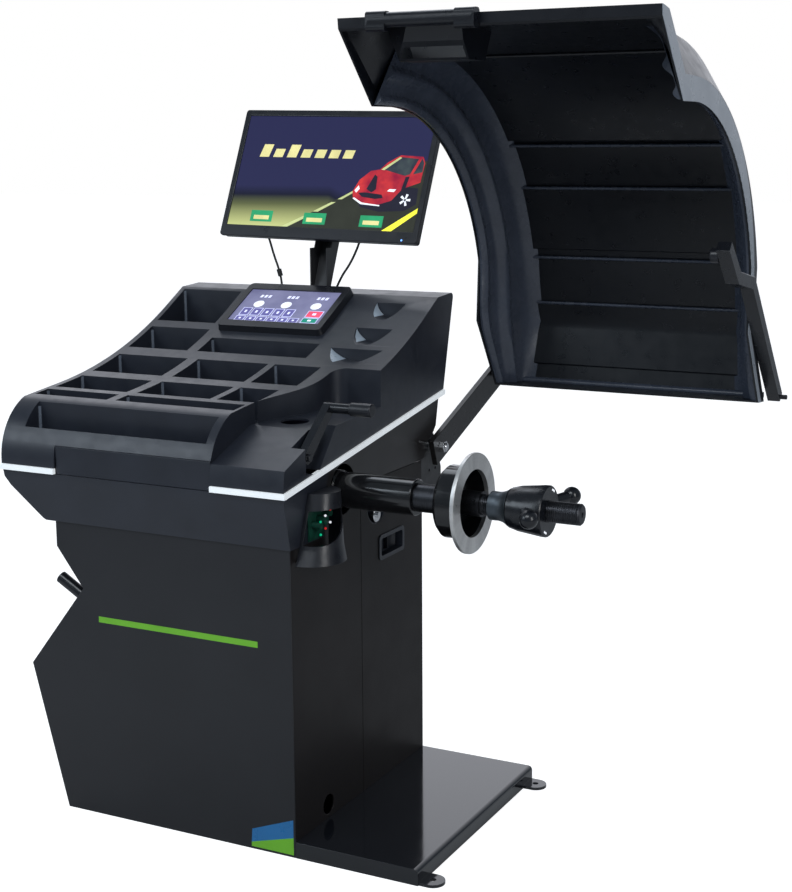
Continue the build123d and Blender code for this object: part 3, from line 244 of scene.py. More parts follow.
DRESS = {
    "front_panel": CABINET, "left_panel": CABINET, "back_panel": CABINET,
    "right_front_panel": LOWER_SIDE, "right_rear_panel": LOWER_SIDE, "upper_side_panel": SIDE,
    "upper_rear_panel": CABINET,
    "cabinet_floor": FRAME_PAINT, "support_frame": FRAME_PAINT, "housing_saddles": FRAME_PAINT,
    "hinge_bracket": FRAME_PAINT, "monitor_post": FRAME_PAINT, "platform": PLATFORM,
    "cone_pegs": BLACK, "nut_body": BLACK, "weight_pocket": MOULDED, "switch_recess": MOULDED,
    "nose_panel": MOULDED, "cover_skirt": MOULDED, "weight_tray": MOULDED, "trim_strip": WHITE,
    "power_rocker": SATIN, "key_bezel": SATIN, "monitor_bezel": SATIN, "monitor_rear": SATIN,
    "sonar_head": SATIN, "lamp_case": SATIN, "gauge_handle": SATIN, "mains_inlet": SATIN,
    "calibration_weight": CHROME, "hinge_pin": CHROME, "hinge_hardware": CHROME, "gauge_rail": CHROME,
    "gauge_rod": CHROME, "encoder_disc": CHROME, "spindle_bearings": STEEL,
    "motor_pulley": STEEL, "imbalance_sensors": STEEL, "spindle_housing": HOUSING, "flange_hub": HOUSING,
    "spindle_pulley": ALUMINIUM, "gauge_carriage": ALUMINIUM, "lamp_board": BOARD, "control_board": BOARD,
    "encoder_reader": BOARD, "motor": MOTOR, "drive_belt": RUBBER, "cord_fittings": RUBBER,
    "gauge_arm": BLACK, "hood_arm": ARM, "sensor_bar": BLACK, "hood_shell": HOOD, "hood_grip": HOOD,
    "nut_carriage": NUT_GREY,
}
# How far each part's edges are rounded, in millimetres; the rest keep their CAD shape.
EDGES = {
    "front_panel": 0.8, "left_panel": 0.8, "back_panel": 0.8, "right_front_panel": 0.8,
    "right_rear_panel": 0.8, "upper_side_panel": 0.8, "upper_rear_panel": 0.8, "platform": 1.2,
    "weight_tray": 4.0, "cover_skirt": 1.2, "trim_strip": 1.0, "nose_panel": 0.8, "key_bezel": 1.2,
    "monitor_bezel": 1.2, "monitor_rear": 1.5, "monitor_post": 0.6, "lamp_case": 1.0,
    "spindle_housing": 0.8, "flange_hub": 0.6, "nut_body": 0.8, "nut_carriage": 0.6,
    "gauge_arm": 1.0, "gauge_handle": 1.0, "hood_grip": 1.0, "hood_arm": 0.8,
    "sensor_bar": 1.0, "hinge_bracket": 0.8, "cone_pegs": 1.2, "weight_pocket": 0.8,
    "switch_recess": 0.8, "power_rocker": 0.8, "sonar_head": 0.5, "hinge_hardware": 0.4, "flange_ring": 0.8,
}
CREASE = math.radians(28)


def set_material(item, material):
    """Leaves an object with this one material."""
    item.data.materials.clear()
    item.data.materials.append(material)


def crease(bm):
    """Smooth shading, with the edges that really turn a corner left sharp."""
    for face in bm.faces:
        face.smooth = True
    for edge in bm.edges:
        edge.smooth = len(edge.link_faces) == 2 and edge.calc_face_angle(0) < CREASE


def add_object(name, bm, material, body, bevel=0.0):
    """Makes an object of a bmesh, gives it a material and rides it on a body."""
    bmesh.ops.recalc_face_normals(bm, faces=bm.faces)
    crease(bm)
    mesh = bpy.data.meshes.new(name)
    bm.to_mesh(mesh)
    bm.free()
    item = bpy.data.objects.new(name, mesh)
    bpy.context.scene.collection.objects.link(item)
    mesh.materials.append(material)
    if bevel:
        soften(item, bevel)
    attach(item, body)
    return item


def soften(item, width):
    """Rounds an object's corners and evens out the shading of its flats."""
    bevel = item.modifiers.new("edges", "BEVEL")
    bevel.width = width / 1000
    bevel.segments = 2
    bevel.limit_method = "ANGLE"
    bevel.angle_limit = CREASE
    bevel.use_clamp_overlap = True
    bevel.miter_outer = "MITER_ARC"
    weighted = item.modifiers.new("flats", "WEIGHTED_NORMAL")
    weighted.keep_sharp = True


def dress(node, material):
    """A CAD part's own shape with its facets merged and its edges rounded."""
    source = NODES[node]
    set_material(source, material)
    if node not in EDGES:
        return
    bm = bmesh.new()
    bm.from_mesh(source.data)
    bmesh.ops.remove_doubles(bm, verts=bm.verts, dist=2e-6)
    bmesh.ops.dissolve_limit(bm, angle_limit=math.radians(0.3), verts=bm.verts, edges=bm.edges)
    copy = add_object("shaped_" + node, bm, material, source["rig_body"], EDGES[node])
    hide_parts(node)


for node_name in sorted(DRESS):
    dress(node_name, DRESS[node_name])


# ------------------------------------------------------------------ mesh helpers
def prism(outline, to_space, depth):
    """A bmesh of an outline extruded by depth; to_space turns (u, v, w) in mm into a point."""
    bm = bmesh.new()
    low = [bm.verts.new(to_space(u, v, 0.0)) for u, v in outline]
    high = [bm.verts.new(to_space(u, v, depth)) for u, v in outline]
    bm.faces.new(low)
    bm.faces.new(list(reversed(high)))
    for i in range(len(outline)):
        j = (i + 1) % len(outline)
        bm.faces.new((low[i], high[i], high[j], low[j]))
    return bm


def lathe(profile, steps=96, along=SHAFT):
    """A bmesh turned round an axis along x at (y, z); profile is (x, radius) pairs."""
    bm = bmesh.new()
    rings = []
    for x, radius in profile:
        if radius < 1e-6:
            rings.append([bm.verts.new(mm(x, *along))])
            continue
        ring = []
        for i in range(steps):
            a = math.tau * i / steps
            ring.append(bm.verts.new(mm(x, along[0] + radius * math.cos(a), along[1] + radius * math.sin(a))))
        rings.append(ring)
    for one, two in zip(rings, rings[1:]):
        for i in range(steps):
            j = (i + 1) % steps
            corners = [one[i % len(one)], one[j % len(one)], two[j % len(two)], two[i % len(two)]]
            unique = list(dict.fromkeys(corners))
            if len(unique) > 2:
                bm.faces.new(unique)
    return bm


def bridge(bm, rings):
    """Joins rings of corners into one closed skin, with a face over each end."""
    for one, two in zip(rings, rings[1:]):
        for k in range(len(one)):
            j = (k + 1) % len(one)
            bm.faces.new((one[k], one[j], two[j], two[k]))
    bm.faces.new(rings[0])
    bm.faces.new(rings[-1])


def rectangle(u, v, half_width, half_height):
    """The four corners of a rectangle about (u, v)."""
    return [(u + x * half_width, v + y * half_height) for x, y in ((-1, -1), (1, -1), (1, 1), (-1, 1))]


def disc(centre, radius, steps=28, squash=1.0):
    """A circle's outline, stretched in v by squash."""
    return [(centre[0] + radius * math.cos(math.tau * i / steps),
             centre[1] + squash * radius * math.sin(math.tau * i / steps)) for i in range(steps)]


# ------------------------------------------------------------------ front marks
def on_front(lift):
    """Places (x, z) in mm on the front panel, lifted off it."""
    return lambda u, v, w: mm(u, -lift - w, v)


def screw(name, centre, radius, body="cabinet"):
    """A domed screw head facing right, with a round recess."""
    x, y, z = centre
    bm = lathe([(x, radius), (x + radius * 0.35, radius * 0.93), (x + radius * 0.6, radius * 0.62),
                (x + radius * 0.66, radius * 0.42), (x + radius * 0.3, radius * 0.40),
                (x + radius * 0.3, 0.0)],
               steps=24, along=(y, z))
    add_object(name, bm, CHROME, body)


screw("gauge_pivot_screw", (-0.8, 74.0, 762.0), 5.0, "gauge")
FRONT_MARKS = (
    ("front_stripe", GREEN, [(-443, 406.5), (-74, 406.5), (-74, 418.5), (-443, 418.5)]),
    ("corner_patch_blue", BLUE, [(-98, 14), (-4, 40), (-4, 76), (-96, 41)]),
    ("corner_patch_green", GREEN, [(-98, 5), (-4, 5), (-4, 40), (-98, 14)]),
)
for name, material, outline in FRONT_MARKS:
    add_object(name, prism(outline, on_front(0.0), 0.3), material, "cabinet")


# ------------------------------------------------------------------ monitor picture
TILT, ROLL = math.radians(23.3), math.radians(-1.25)
SCREEN_UP = Vector((0, math.sin(TILT), math.cos(TILT)))
SCREEN_RIGHT = Vector((1, 0, 0)) * math.cos(ROLL) + SCREEN_UP * math.sin(ROLL)
SCREEN_OUT = Vector((0, -math.cos(TILT), math.sin(TILT)))
SCREEN_ABOVE = SCREEN_OUT.cross(SCREEN_RIGHT)
PANEL_W, PANEL_H = 471.6, 260.6
PANEL_MIDDLE, PANEL_RISE = mm(-290.0, 672.0, 1265.0), 6


def on_screen(lift):
    """Places (u, v) shares of the monitor's panel, lifted off it in mm."""
    def point(u, v, w):
        x, y = (u - 0.5) * PANEL_W, (v - 0.5) * PANEL_H + PANEL_RISE
        return PANEL_MIDDLE + (SCREEN_RIGHT * x + SCREEN_ABOVE * y + SCREEN_OUT * (lift + w)) / 1000

    return point


def night_sky():
    """The panel's lit background: dark blue that fades to a pale glow low on the left."""
    n = Nodes("screen_glass")
    position = n.add("ShaderNodeSeparateXYZ")
    n.link(n.place, position.inputs["Vector"])
    foot = PANEL_MIDDLE - SCREEN_ABOVE * (PANEL_H / 2 - PANEL_RISE) / 1000
    rise = n.spread(position.outputs["Z"], 0.0, 1.0, foot.z, foot.z + 0.09)
    across_glow = n.spread(position.outputs["X"], 0.0, 0.85, -0.30, -0.12)
    least = n.add("ShaderNodeMath", operation="ADD")
    n.link(rise, least.inputs[0])
    n.link(across_glow, least.inputs[1])
    ramp = n.add("ShaderNodeValToRGB")
    ramp.color_ramp.elements[0].position, ramp.color_ramp.elements[0].color = 0.0, (0.66, 0.72, 0.30, 1)
    ramp.color_ramp.elements[1].position, ramp.color_ramp.elements[1].color = 1.0, (0.024, 0.026, 0.085, 1)
    middle = ramp.color_ramp.elements.new(0.55)
    middle.color = (0.12, 0.14, 0.06, 1)
    dark = ramp.color_ramp.elements.new(0.78)
    dark.color = (0.010, 0.012, 0.03, 1)
    n.link(least.outputs["Value"], ramp.inputs["Fac"])
    n.link(ramp.outputs["Color"], n.bsdf.inputs["Emission Color"])
    n.bsdf.inputs["Emission Strength"].default_value = 1.0
    n.bsdf.inputs["Base Color"].default_value = (0.004, 0.004, 0.006, 1)
    n.bsdf.inputs["Roughness"].default_value = 0.28
    n.bsdf.inputs["Specular IOR Level"].default_value = 0.15
    return n.material


set_material(NODES["monitor_panel"], night_sky())
ROAD = lit("picture_road", (0.022, 0.024, 0.018))
LINE_PALE = lit("picture_line_pale", (0.40, 0.44, 0.20))
LINE_YELLOW = lit("picture_line_yellow", (0.72, 0.70, 0.05))
CAR_RED = lit("picture_red", (0.20, 0.006, 0.03), colour_to=(0.46, 0.03, 0.03), scale=26.0)
CAR_DARK = lit("picture_dark", (0.012, 0.012, 0.022))
CAR_GLASS = lit("picture_glass", (0.016, 0.018, 0.036), colour_to=(0.045, 0.06, 0.06))
BUTTON = lit("picture_button", (0.02, 0.24, 0.10))
MARK = lit("picture_mark", (0.55, 0.50, 0.22))
PALE = lit("picture_pale", (0.66, 0.68, 0.72))


def picture(name, outline, lift, material, space=on_screen, depth=0.15):
    add_object(name, prism(outline, space(lift), depth), material, "cabinet")


BASE_LIFT = -2.5
picture("picture_road", [(0.32, 0.0), (1.0, 0.0), (1.0, 0.62), (0.90, 0.60), (0.66, 0.36)], BASE_LIFT, ROAD)
for index, (a, b) in enumerate((((0.30, 0.0), (0.44, 0.13)), ((0.455, 0.145), (0.545, 0.235)),
                                ((0.575, 0.262), (0.66, 0.355)))):
    wide = 0.034 - 0.006 * index
    dash = [(a[0], a[1]), (a[0] + wide, a[1]), (b[0] + wide * 0.8, b[1]), (b[0], b[1])]
    picture(f"picture_dash_{index}", dash, BASE_LIFT + 0.15, LINE_PALE)
picture("picture_edge_line", [(0.835, 0.0), (0.885, 0.0), (1.0, 0.165), (1.0, 0.21)], BASE_LIFT + 0.15,
        LINE_YELLOW)
CAR = (
    ("shadow", CAR_DARK, 0.15, [
        (0.655, 0.30), (0.70, 0.20), (0.80, 0.165), (0.93, 0.18), (0.985, 0.24), (0.98, 0.38), (0.80, 0.40)]),
    ("body", CAR_RED, 0.3, [
        (0.645, 0.335), (0.655, 0.275), (0.70, 0.235), (0.79, 0.225), (0.855, 0.265), (0.90, 0.37),
        (0.985, 0.43), (0.99, 0.60), (0.975, 0.655), (0.86, 0.665), (0.80, 0.60), (0.765, 0.535),
        (0.72, 0.52), (0.67, 0.44)]),
    ("glass", CAR_GLASS, 0.45, [
        (0.785, 0.535), (0.90, 0.485), (0.925, 0.50), (0.955, 0.635), (0.865, 0.648)]),
    ("side_glass", CAR_GLASS, 0.45, [(0.94, 0.50), (0.985, 0.52), (0.985, 0.60), (0.972, 0.64)]),
    ("pillar", LINE_PALE, 0.6, [(0.772, 0.535), (0.788, 0.53), (0.868, 0.642), (0.856, 0.648)]),
    ("bonnet_shade", CAR_DARK, 0.45, [
        (0.715, 0.36), (0.745, 0.33), (0.765, 0.36), (0.76, 0.47), (0.745, 0.49)]),
    ("grille", CAR_DARK, 0.45, [
        (0.675, 0.325), (0.70, 0.29), (0.77, 0.275), (0.81, 0.285), (0.80, 0.315), (0.71, 0.33)]),
    ("door_shade", CAR_DARK, 0.45, [(0.895, 0.36), (0.915, 0.37), (0.925, 0.48), (0.905, 0.475)]),
    ("lamp_left", PALE, 0.6, [(0.655, 0.345), (0.665, 0.325), (0.68, 0.36), (0.672, 0.39)]),
    ("lamp_right", PALE, 0.6, [(0.825, 0.345), (0.86, 0.34), (0.87, 0.365), (0.835, 0.365)]),
    ("bumper", PALE, 0.6, [
        (0.652, 0.275), (0.70, 0.225), (0.80, 0.212), (0.80, 0.222), (0.705, 0.24), (0.66, 0.283)]),
)
for name, material, rise, outline in CAR:
    picture("picture_car_" + name, outline, BASE_LIFT + rise, material)
picture("picture_car_wheel", disc((0.925, 0.275), 0.036, squash=1.9), BASE_LIFT + 0.45, CAR_DARK)
for index in range(5):
    a = math.tau * index / 5
    spoke = [(0.925 + r * math.cos(a + da), 0.275 + 1.9 * r * math.sin(a + da))
             for r, da in ((0.006, -0.6), (0.028, -0.22), (0.028, 0.22), (0.006, 0.6))]
    picture(f"picture_car_spoke_{index}", spoke, BASE_LIFT + 0.6, PALE)
for index, (u, v) in enumerate(((0.182, 0.087), (0.473, 0.082), (0.774, 0.078))):
    picture(f"picture_button_{index}", rectangle(u, v, 0.060, 0.050), BASE_LIFT + 0.3, BUTTON)
    picture(f"picture_button_mark_{index}", rectangle(u, v - 0.012, 0.042, 0.018), BASE_LIFT + 0.45, MARK)
for index in range(7):
    tall = 0.115 if index in (0, 2) else 0.075
    left = 0.098 + 0.076 * index
    right, lean = left + 0.052, tall * 0.14
    block = [(left, 0.625), (right, 0.625), (right + lean, 0.625 + tall), (left + lean, 0.625 + tall)]
    picture(f"picture_title_{index}", block, BASE_LIFT + 0.15, MARK)
picture("monitor_lamp", disc((0.951, -0.075), 0.0045, squash=1.8), 0.0,
        lit("picture_lamp", (0.15, 0.35, 1.0), 2.0))


# ------------------------------------------------------------------ tray corners and cone rests, with painted highlights
# The tray's pockets in mm: span in x, span in y, and depth below the surface at their front.
POCKETS = (
    ((-598, -171), (-8, 38), 46), ((-636, -457), (71, 112), 52), ((-436, -160), (71, 112), 52),
    ((-632, -453), (131, 218), 52), ((-428, -254), (131, 218), 52), ((-238, -150), (131, 218), 52),
    ((-630, -452), (250, 346), 52), ((-426, -252), (250, 346), 52), ((-236, -128), (250, 346), 52),
    ((-632, -478), (381, 470), 50), ((-452, -184), (381, 440), 50), ((-634, -480), (494, 604), 50),
)
# The cone rests in mm: middle in x, back wall in y, half width and depth.
CONE_RESTS = ((-92, 588, 34, 31), (-89, 505, 42, 28), (-91, 429, 60, 24))
# The cover's top from front to back, as (y, z) in mm.
COVER_LINE = (
    (-8, 785), (50, 838), (158, 850), (256, 867), (358, 892), (470, 931), (561, 982), (613, 1011),
    (700, 1015),
)


def cover_z(y):
    """The height of the cover's top surface at y."""
    for (y0, z0), (y1, z1) in zip(COVER_LINE, COVER_LINE[1:]):
        if y <= y1:
            return z0 + (z1 - z0) * (y - y0) / (y1 - y0)
    return COVER_LINE[-1][1]


CORNER_RADIUS, CORNER_STEPS = 5.0, 6
SCOOP_ROUND, SCOOP_ALONG, SCOOP_LONG, SCOOP_SKIN, SCOOP_GAP = 14, 10, 150.0, 0.8, 0.4
# Pale shells in the pocket corners and cone rests are painted highlights, lighter than the tray's plastic.
CORNER_HIGHLIGHT = finish_of("corner_painted_highlight", (0.12, 0.14, 0.175), (0.22, 0.32), grain=(700.0, 0.05))
SCOOP_HIGHLIGHT = finish_of("scoop_painted_highlight", (0.42, 0.50, 0.58), (0.24, 0.34), grain=(700.0, 0.12))


def pocket_corner_highlights():
    """A pale shell in the moulding radius of each pocket's left back corner: a painted highlight where the
    corner catches the light.
    """
    for index, (span_x, span_y, deep) in enumerate(POCKETS):
        low, high = cover_z(span_y[0]) - deep + 0.5, cover_z(span_y[1]) - 4.0
        left, back = span_x[0] + CORNER_RADIUS - 0.1, span_y[1] - CORNER_RADIUS + 0.1
        bm = bmesh.new()
        rings = []
        for z in (low, high):
            ring = [bm.verts.new(mm(span_x[0] - 0.2, span_y[1] + 0.2, z))]
            for k in range(CORNER_STEPS + 1):
                a = math.radians(90 + 90 * k / CORNER_STEPS)
                x, y = left + CORNER_RADIUS * math.cos(a), back + CORNER_RADIUS * math.sin(a)
                ring.append(bm.verts.new(mm(x, y, z)))
            rings.append(ring)
        bridge(bm, rings)
        add_object(f"pocket_corner_{index}", bm, CORNER_HIGHLIGHT, "cabinet")


def scoop_highlights():
    """A pale shell laid just inside each cone rest's round wall on its left: a painted highlight for its lit
    side.
    """
    for index, (middle, back, half, deep) in enumerate(CONE_RESTS):
        radius = (half * half + deep * deep) / (2 * deep)
        centre = cover_z(back) - deep + radius
        start = math.asin(min(1.0, half / radius))
        bm = bmesh.new()
        grid = []
        for i in range(SCOOP_ROUND + 1):
            a = -start * (1.0 - 0.62 * i / SCOOP_ROUND)
            x = middle + (radius - SCOOP_GAP) * math.sin(a)
            z = centre - (radius - SCOOP_GAP) * math.cos(a)
            first = back - 1.0
            last = first
            while last > back - SCOOP_LONG and cover_z(last) > z + 0.6:
                last -= 1.0
            grid.append([(x, first + (last - first) * k / SCOOP_ALONG, z) for k in range(SCOOP_ALONG + 1)])
        top = [[bm.verts.new(mm(*p)) for p in row] for row in grid]
        under = [[bm.verts.new(mm(x, y, z - SCOOP_SKIN)) for x, y, z in row] for row in grid]
        for sheet in (top, under):
            for one, two in zip(sheet, sheet[1:]):
                for k in range(SCOOP_ALONG):
                    bm.faces.new((one[k], one[k + 1], two[k + 1], two[k]))
        for k in range(SCOOP_ALONG):
            for i in (0, SCOOP_ROUND):
                bm.faces.new((top[i][k], top[i][k + 1], under[i][k + 1], under[i][k]))
        for i in range(SCOOP_ROUND):
            for k in (0, SCOOP_ALONG):
                bm.faces.new((top[i][k], top[i + 1][k], under[i + 1][k], under[i][k]))
        add_object(f"scoop_face_{index}", bm, SCOOP_HIGHLIGHT, "cabinet")


pocket_corner_highlights()
scoop_highlights()


# ------------------------------------------------------------------ key display
GLASS_W, GLASS_L = 228.0, 122.0


def find_keys_plane():
    """The glass's own top face, found from the CAD part."""
    low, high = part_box("key_screen")
    best = None
    for face in NODES["key_screen"].data.polygons:
        if face.normal.z > 0.5 and face.area > 1e-6:
            reach = face.center.dot(face.normal)
            if best is None or reach > best[0] + 1e-6:
                best = (reach, face.normal.copy())
    reach, normal = best
    middle = (low + high) / 2
    middle += normal * (reach - middle.dot(normal))
    return middle, normal


KEYS_MIDDLE, KEYS_NORMAL = find_keys_plane()


def on_keys(lift):
    """Places (u, v) shares of the key display's glass, lifted off it in mm."""
    right = Vector((1, 0, 0))
    up = KEYS_NORMAL.cross(right)

    def point(u, v, w):
        offset = right * ((u - 0.5) * GLASS_W) + up * ((v - 0.5) * GLASS_L) + KEYS_NORMAL * (lift + w)
        return KEYS_MIDDLE + offset / 1000

    return point


def key_picture(name, outline, lift, material):
    picture(name, outline, lift, material, space=on_keys, depth=0.12)


KEY_GLASS = lit("key_glass", (0.105, 0.105, 0.20), colour_to=(0.16, 0.16, 0.26), scale=14.0)
KEY_EDGE = lit("key_edge", (0.44, 0.45, 0.66))
KEY_FACE = lit("key_face", (0.085, 0.08, 0.24))
KEY_MARK = lit("key_mark", (0.62, 0.63, 0.80))
KEY_RED = lit("key_red", (0.62, 0.06, 0.12))
KEY_GREEN = lit("key_green", (0.0, 0.19, 0.13))
set_material(NODES["key_screen"], KEY_GLASS)


def key(name, u, v, wide, tall, face_material):
    """One key: its edge, its face and a blank mark, each on top of the last."""
    key_picture(name + "_edge", rectangle(u, v, wide / 2, tall / 2), 0.0, KEY_EDGE)
    key_picture(name + "_face", rectangle(u, v, wide / 2 - 0.009, tall / 2 - 0.017), 0.12, face_material)
    key_picture(name + "_mark", rectangle(u, v, wide * 0.11, tall * 0.15), 0.24, KEY_MARK)


for index in range(5):
    key(f"key_top_{index}", 0.1226 + 0.1197 * index, 0.30, 0.105, 0.24, KEY_FACE)
for index in range(6):
    key(f"key_low_{index}", 0.1166 + 0.118 * index, 0.085, 0.105, 0.15, KEY_FACE)
key("key_stop", 0.88, 0.30, 0.17, 0.21, KEY_RED)
key("key_start", 0.876, 0.105, 0.17, 0.16, KEY_GREEN)
for index, u in enumerate((0.20, 0.506, 0.832)):
    key_picture(f"key_dial_{index}", disc((u, 0.545), 0.055, squash=1.85), 0.0, PALE)
    for part in range(3):
        left = u - 0.05 + 0.045 * part
        mark = [(left + x, 0.75 + y) for x, y in ((0, 0), (0.028, 0), (0.034, 0.08), (0.006, 0.08))]
        key_picture(f"key_dial_mark_{index}_{part}", mark, 0.0, KEY_MARK)


# ------------------------------------------------------------------ lamp
def make_leds():
    """Small coloured emitters standing on the lamp's board."""
    low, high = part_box("lamp_board")
    colours = (LED_GREEN, LED_RED, PALE, LED_GREEN, PALE, LED_RED)
    for index, material in enumerate(colours):
        z = low.z + (high.z - low.z) * (0.2 + 0.12 * index)
        y = low.y + (high.y - low.y) * (0.2 + 0.3 * (index % 3))
        bm = bmesh.new()
        bmesh.ops.create_uvsphere(bm, u_segments=16, v_segments=10, radius=0.0024,
                                  matrix=Matrix.Translation((high.x + 0.0012, y, z)))
        add_object(f"lamp_led_{index}", bm, material, "cabinet")


LED_GREEN = lit("led_green", (0.0, 0.32, 0.15))
LED_RED = lit("led_red", (0.35, 0.012, 0.012))
make_leds()


# ------------------------------------------------------------------ shaft, flange ring
def make_shaft():
    """The neck and its long trapezoidal thread, turned as one piece."""
    steps, pitch, deep = 60, 4.0, 1.3
    start, end = 299.0, 488.0
    bm = bmesh.new()
    rings = []

    def ring_at(x, radius_of):
        ring = []
        for i in range(steps):
            a = math.tau * i / steps
            r = radius_of(a)
            ring.append(bm.verts.new(mm(x, SHAFT[0] + r * math.cos(a), SHAFT[1] + r * math.sin(a))))
        rings.append(ring)

    for x, r in ((-370, 15), (162.6, 15), (162.6, 27), (221, 27), (221.01, 24), (296, 24), (296.01, 19.4),
                 (298.5, 19.4)):
        ring_at(x, lambda a, r=r: r)
    count = int((end - start) / pitch * 8)
    for k in range(count + 1):
        x = start + (end - start) * k / count
        fade = min(1.0, (x - start) / 3, (end - x) / 3)

        def thread(a, x=x, fade=fade):
            t = (x / pitch - a / math.tau) % 1.0
            tooth = max(0.0, min(1.0, 2.2 - abs(t - 0.5) * 6.4))
            return 20.0 - deep * (1 - tooth) * fade

        ring_at(x, thread)
    for x, r in ((489.5, 18.6), (491, 17.0), (491, 5.0), (486, 4.0), (482, 0.4)):
        ring_at(x, lambda a, r=r: r)
    bridge(bm, rings)
    shaft = add_object("threaded_shaft", bm, SHAFT_STEEL, "spindle")
    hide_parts("spindle_shaft")


def shaft_steel():
    """Dark, oiled steel with fine turning lines."""
    n = Nodes("shaft_steel")
    fine = n.noise(1.0, 4.0, stretch=(500.0, 40.0, 40.0), rough=0.7)
    n.link(n.shades(fine, (0.030, 0.031, 0.036), (0.070, 0.072, 0.08)), n.bsdf.inputs["Base Color"])
    n.link(n.spread(n.noise(30.0, 4.0), 0.25, 0.42), n.bsdf.inputs["Roughness"])
    n.bsdf.inputs["Metallic"].default_value = 0.9
    return n.material


def ring_steel():
    """Ground steel: fine circles round the shaft's axis, and a few softer bands."""
    n = Nodes("ring_steel")
    centre = n.add("ShaderNodeVectorMath", operation="SUBTRACT")
    centre.inputs[1].default_value = mm(0, *SHAFT)
    n.link(n.place, centre.inputs[0])
    parts = n.add("ShaderNodeSeparateXYZ")
    n.link(centre.outputs["Vector"], parts.inputs["Vector"])
    flat = n.add("ShaderNodeCombineXYZ")
    n.link(parts.outputs["Y"], flat.inputs["Y"])
    n.link(parts.outputs["Z"], flat.inputs["Z"])
    length = n.add("ShaderNodeVectorMath", operation="LENGTH")
    n.link(flat.outputs["Vector"], length.inputs[0])
    circles = n.add("ShaderNodeTexNoise")
    circles.noise_dimensions = "1D"
    circles.inputs["Scale"].default_value = 1800.0
    circles.inputs["Detail"].default_value = 3.0
    n.link(length.outputs["Value"], circles.inputs["W"])
    angle = n.add("ShaderNodeMath", operation="ARCTAN2")
    n.link(parts.outputs["Z"], angle.inputs[0])
    n.link(parts.outputs["Y"], angle.inputs[1])
    sweep = n.add("ShaderNodeTexNoise")
    sweep.noise_dimensions = "1D"
    sweep.inputs["Scale"].default_value = 2.2
    n.link(angle.outputs["Value"], sweep.inputs["W"])
    both = n.add("ShaderNodeMath", operation="ADD")
    n.link(circles.outputs["Fac"], both.inputs[0])
    n.link(sweep.outputs["Fac"], both.inputs[1])
    lines = n.spread(both.outputs["Value"], 0.0, 1.0, 0.6, 1.4)
    n.link(n.shades(lines, (0.50, 0.49, 0.48), (0.88, 0.87, 0.85), 0.1, 0.9), n.bsdf.inputs["Base Color"])
    n.bsdf.inputs["Metallic"].default_value = 0.85
    n.bsdf.inputs["Roughness"].default_value = 0.38
    n.bump(circles.outputs["Fac"], 0.25, 0.0002)
    return n.material


def nut_marks():
    """Two printed marks on the nut's end ring."""
    for index, middle in enumerate((62.0, 242.0)):
        bm = bmesh.new()
        rows = []
        for k in range(9):
            a = math.radians(middle - 9 + 18 * k / 8)
            rows.append([bm.verts.new(mm(x, SHAFT[0] + r * math.cos(a), SHAFT[1] + r * math.sin(a)))
                         for x, r in ((426.6, 38.5), (427.4, 38.5), (427.4, 42.0), (426.6, 42.0))])
        bridge(bm, rows)
        add_object(f"nut_mark_{index}", bm, PALE, "nut")


nut_marks()
SHAFT_STEEL = shaft_steel()
make_shaft()
dress("flange_ring", ring_steel())


# ------------------------------------------------------------------ hood mouldings
MOUTH = ((100, 1530), (222, 1399), (300, 1399), (580, 1280), (698, 1085), (690, 956), (791, 803))
SKIN = ((98, 1548), (240, 1528), (350, 1512), (684, 1362), (855, 1080), (884, 940), (862, 797))
HOOD_LEFT, HOOD_RIGHT, HOOD_DRAFT, HOOD_WALL = 60.0, 650.0, 51.0, 4.0


def through(a, b, c, count):
    """Points along the arc from a to c by way of b."""
    ax, ay, bx, by, cx, cy = *a, *b, *c
    d = 2 * (ax * (by - cy) + bx * (cy - ay) + cx * (ay - by))
    aa, bb, cc = ax * ax + ay * ay, bx * bx + by * by, cx * cx + cy * cy
    ux = (aa * (by - cy) + bb * (cy - ay) + cc * (ay - by)) / d
    uy = (aa * (cx - bx) + bb * (ax - cx) + cc * (bx - ax)) / d
    r = math.hypot(ax - ux, ay - uy)
    start = math.atan2(ay - uy, ax - ux)
    turn = math.atan2(cy - uy, cx - ux) - start
    turn = (turn + math.pi) % math.tau - math.pi
    return [(ux + r * math.cos(start + turn * i / count), uy + r * math.sin(start + turn * i / count))
            for i in range(count + 1)]


def hood_line(share, first=0, last=6):
    """The (y, z) line part of the way from the mouth's edge to the skin."""
    knots = [(m[0] + share * (s[0] - m[0]), m[1] + share * (s[1] - m[1])) for m, s in zip(MOUTH, SKIN)]
    line = []
    for i in range(first, last):
        if i == 2:
            line += through(knots[2], knots[3], knots[4], 28)[:-1]
        elif i != 3:
            steps = max(1, int(math.dist(MOUTH[i], MOUTH[i + 1]) / 20))
            line += [(knots[i][0] + (knots[i + 1][0] - knots[i][0]) * k / steps,
                      knots[i][1] + (knots[i + 1][1] - knots[i][1]) * k / steps) for k in range(steps)]
    return line + [knots[last]]


def smooth_line(points, rounds):
    """Softens a line's corners and keeps its two ends."""
    for _ in range(rounds):
        points = [points[0]] + [tuple((a + 2 * b + c) / 4 for a, b, c in zip(p, q, r))
                                for p, q, r in zip(points, points[1:], points[2:])] + [points[-1]]
    return points


def sweep(name, points, radius, material, sides=14):
    """A round moulding along a line of points in mm, in one piece with closed ends."""
    bm = bmesh.new()
    path = [mm(*p) for p in points]
    rings = []
    side = None
    for i, p in enumerate(path):
        ahead = (path[min(i + 1, len(path) - 1)] - path[max(i - 1, 0)]).normalized()
        if side is None:
            side = Vector((1, 0, 0)) if abs(ahead.x) < 0.9 else Vector((0, 1, 0))
        side = (side - ahead * side.dot(ahead)).normalized()
        other = ahead.cross(side)
        rings.append([bm.verts.new(p + (side * math.cos(math.tau * k / sides) * radius
                                        + other * math.sin(math.tau * k / sides) * radius) / 1000)
                      for k in range(sides)])
    bridge(bm, rings)
    add_object(name, bm, material, "hood")


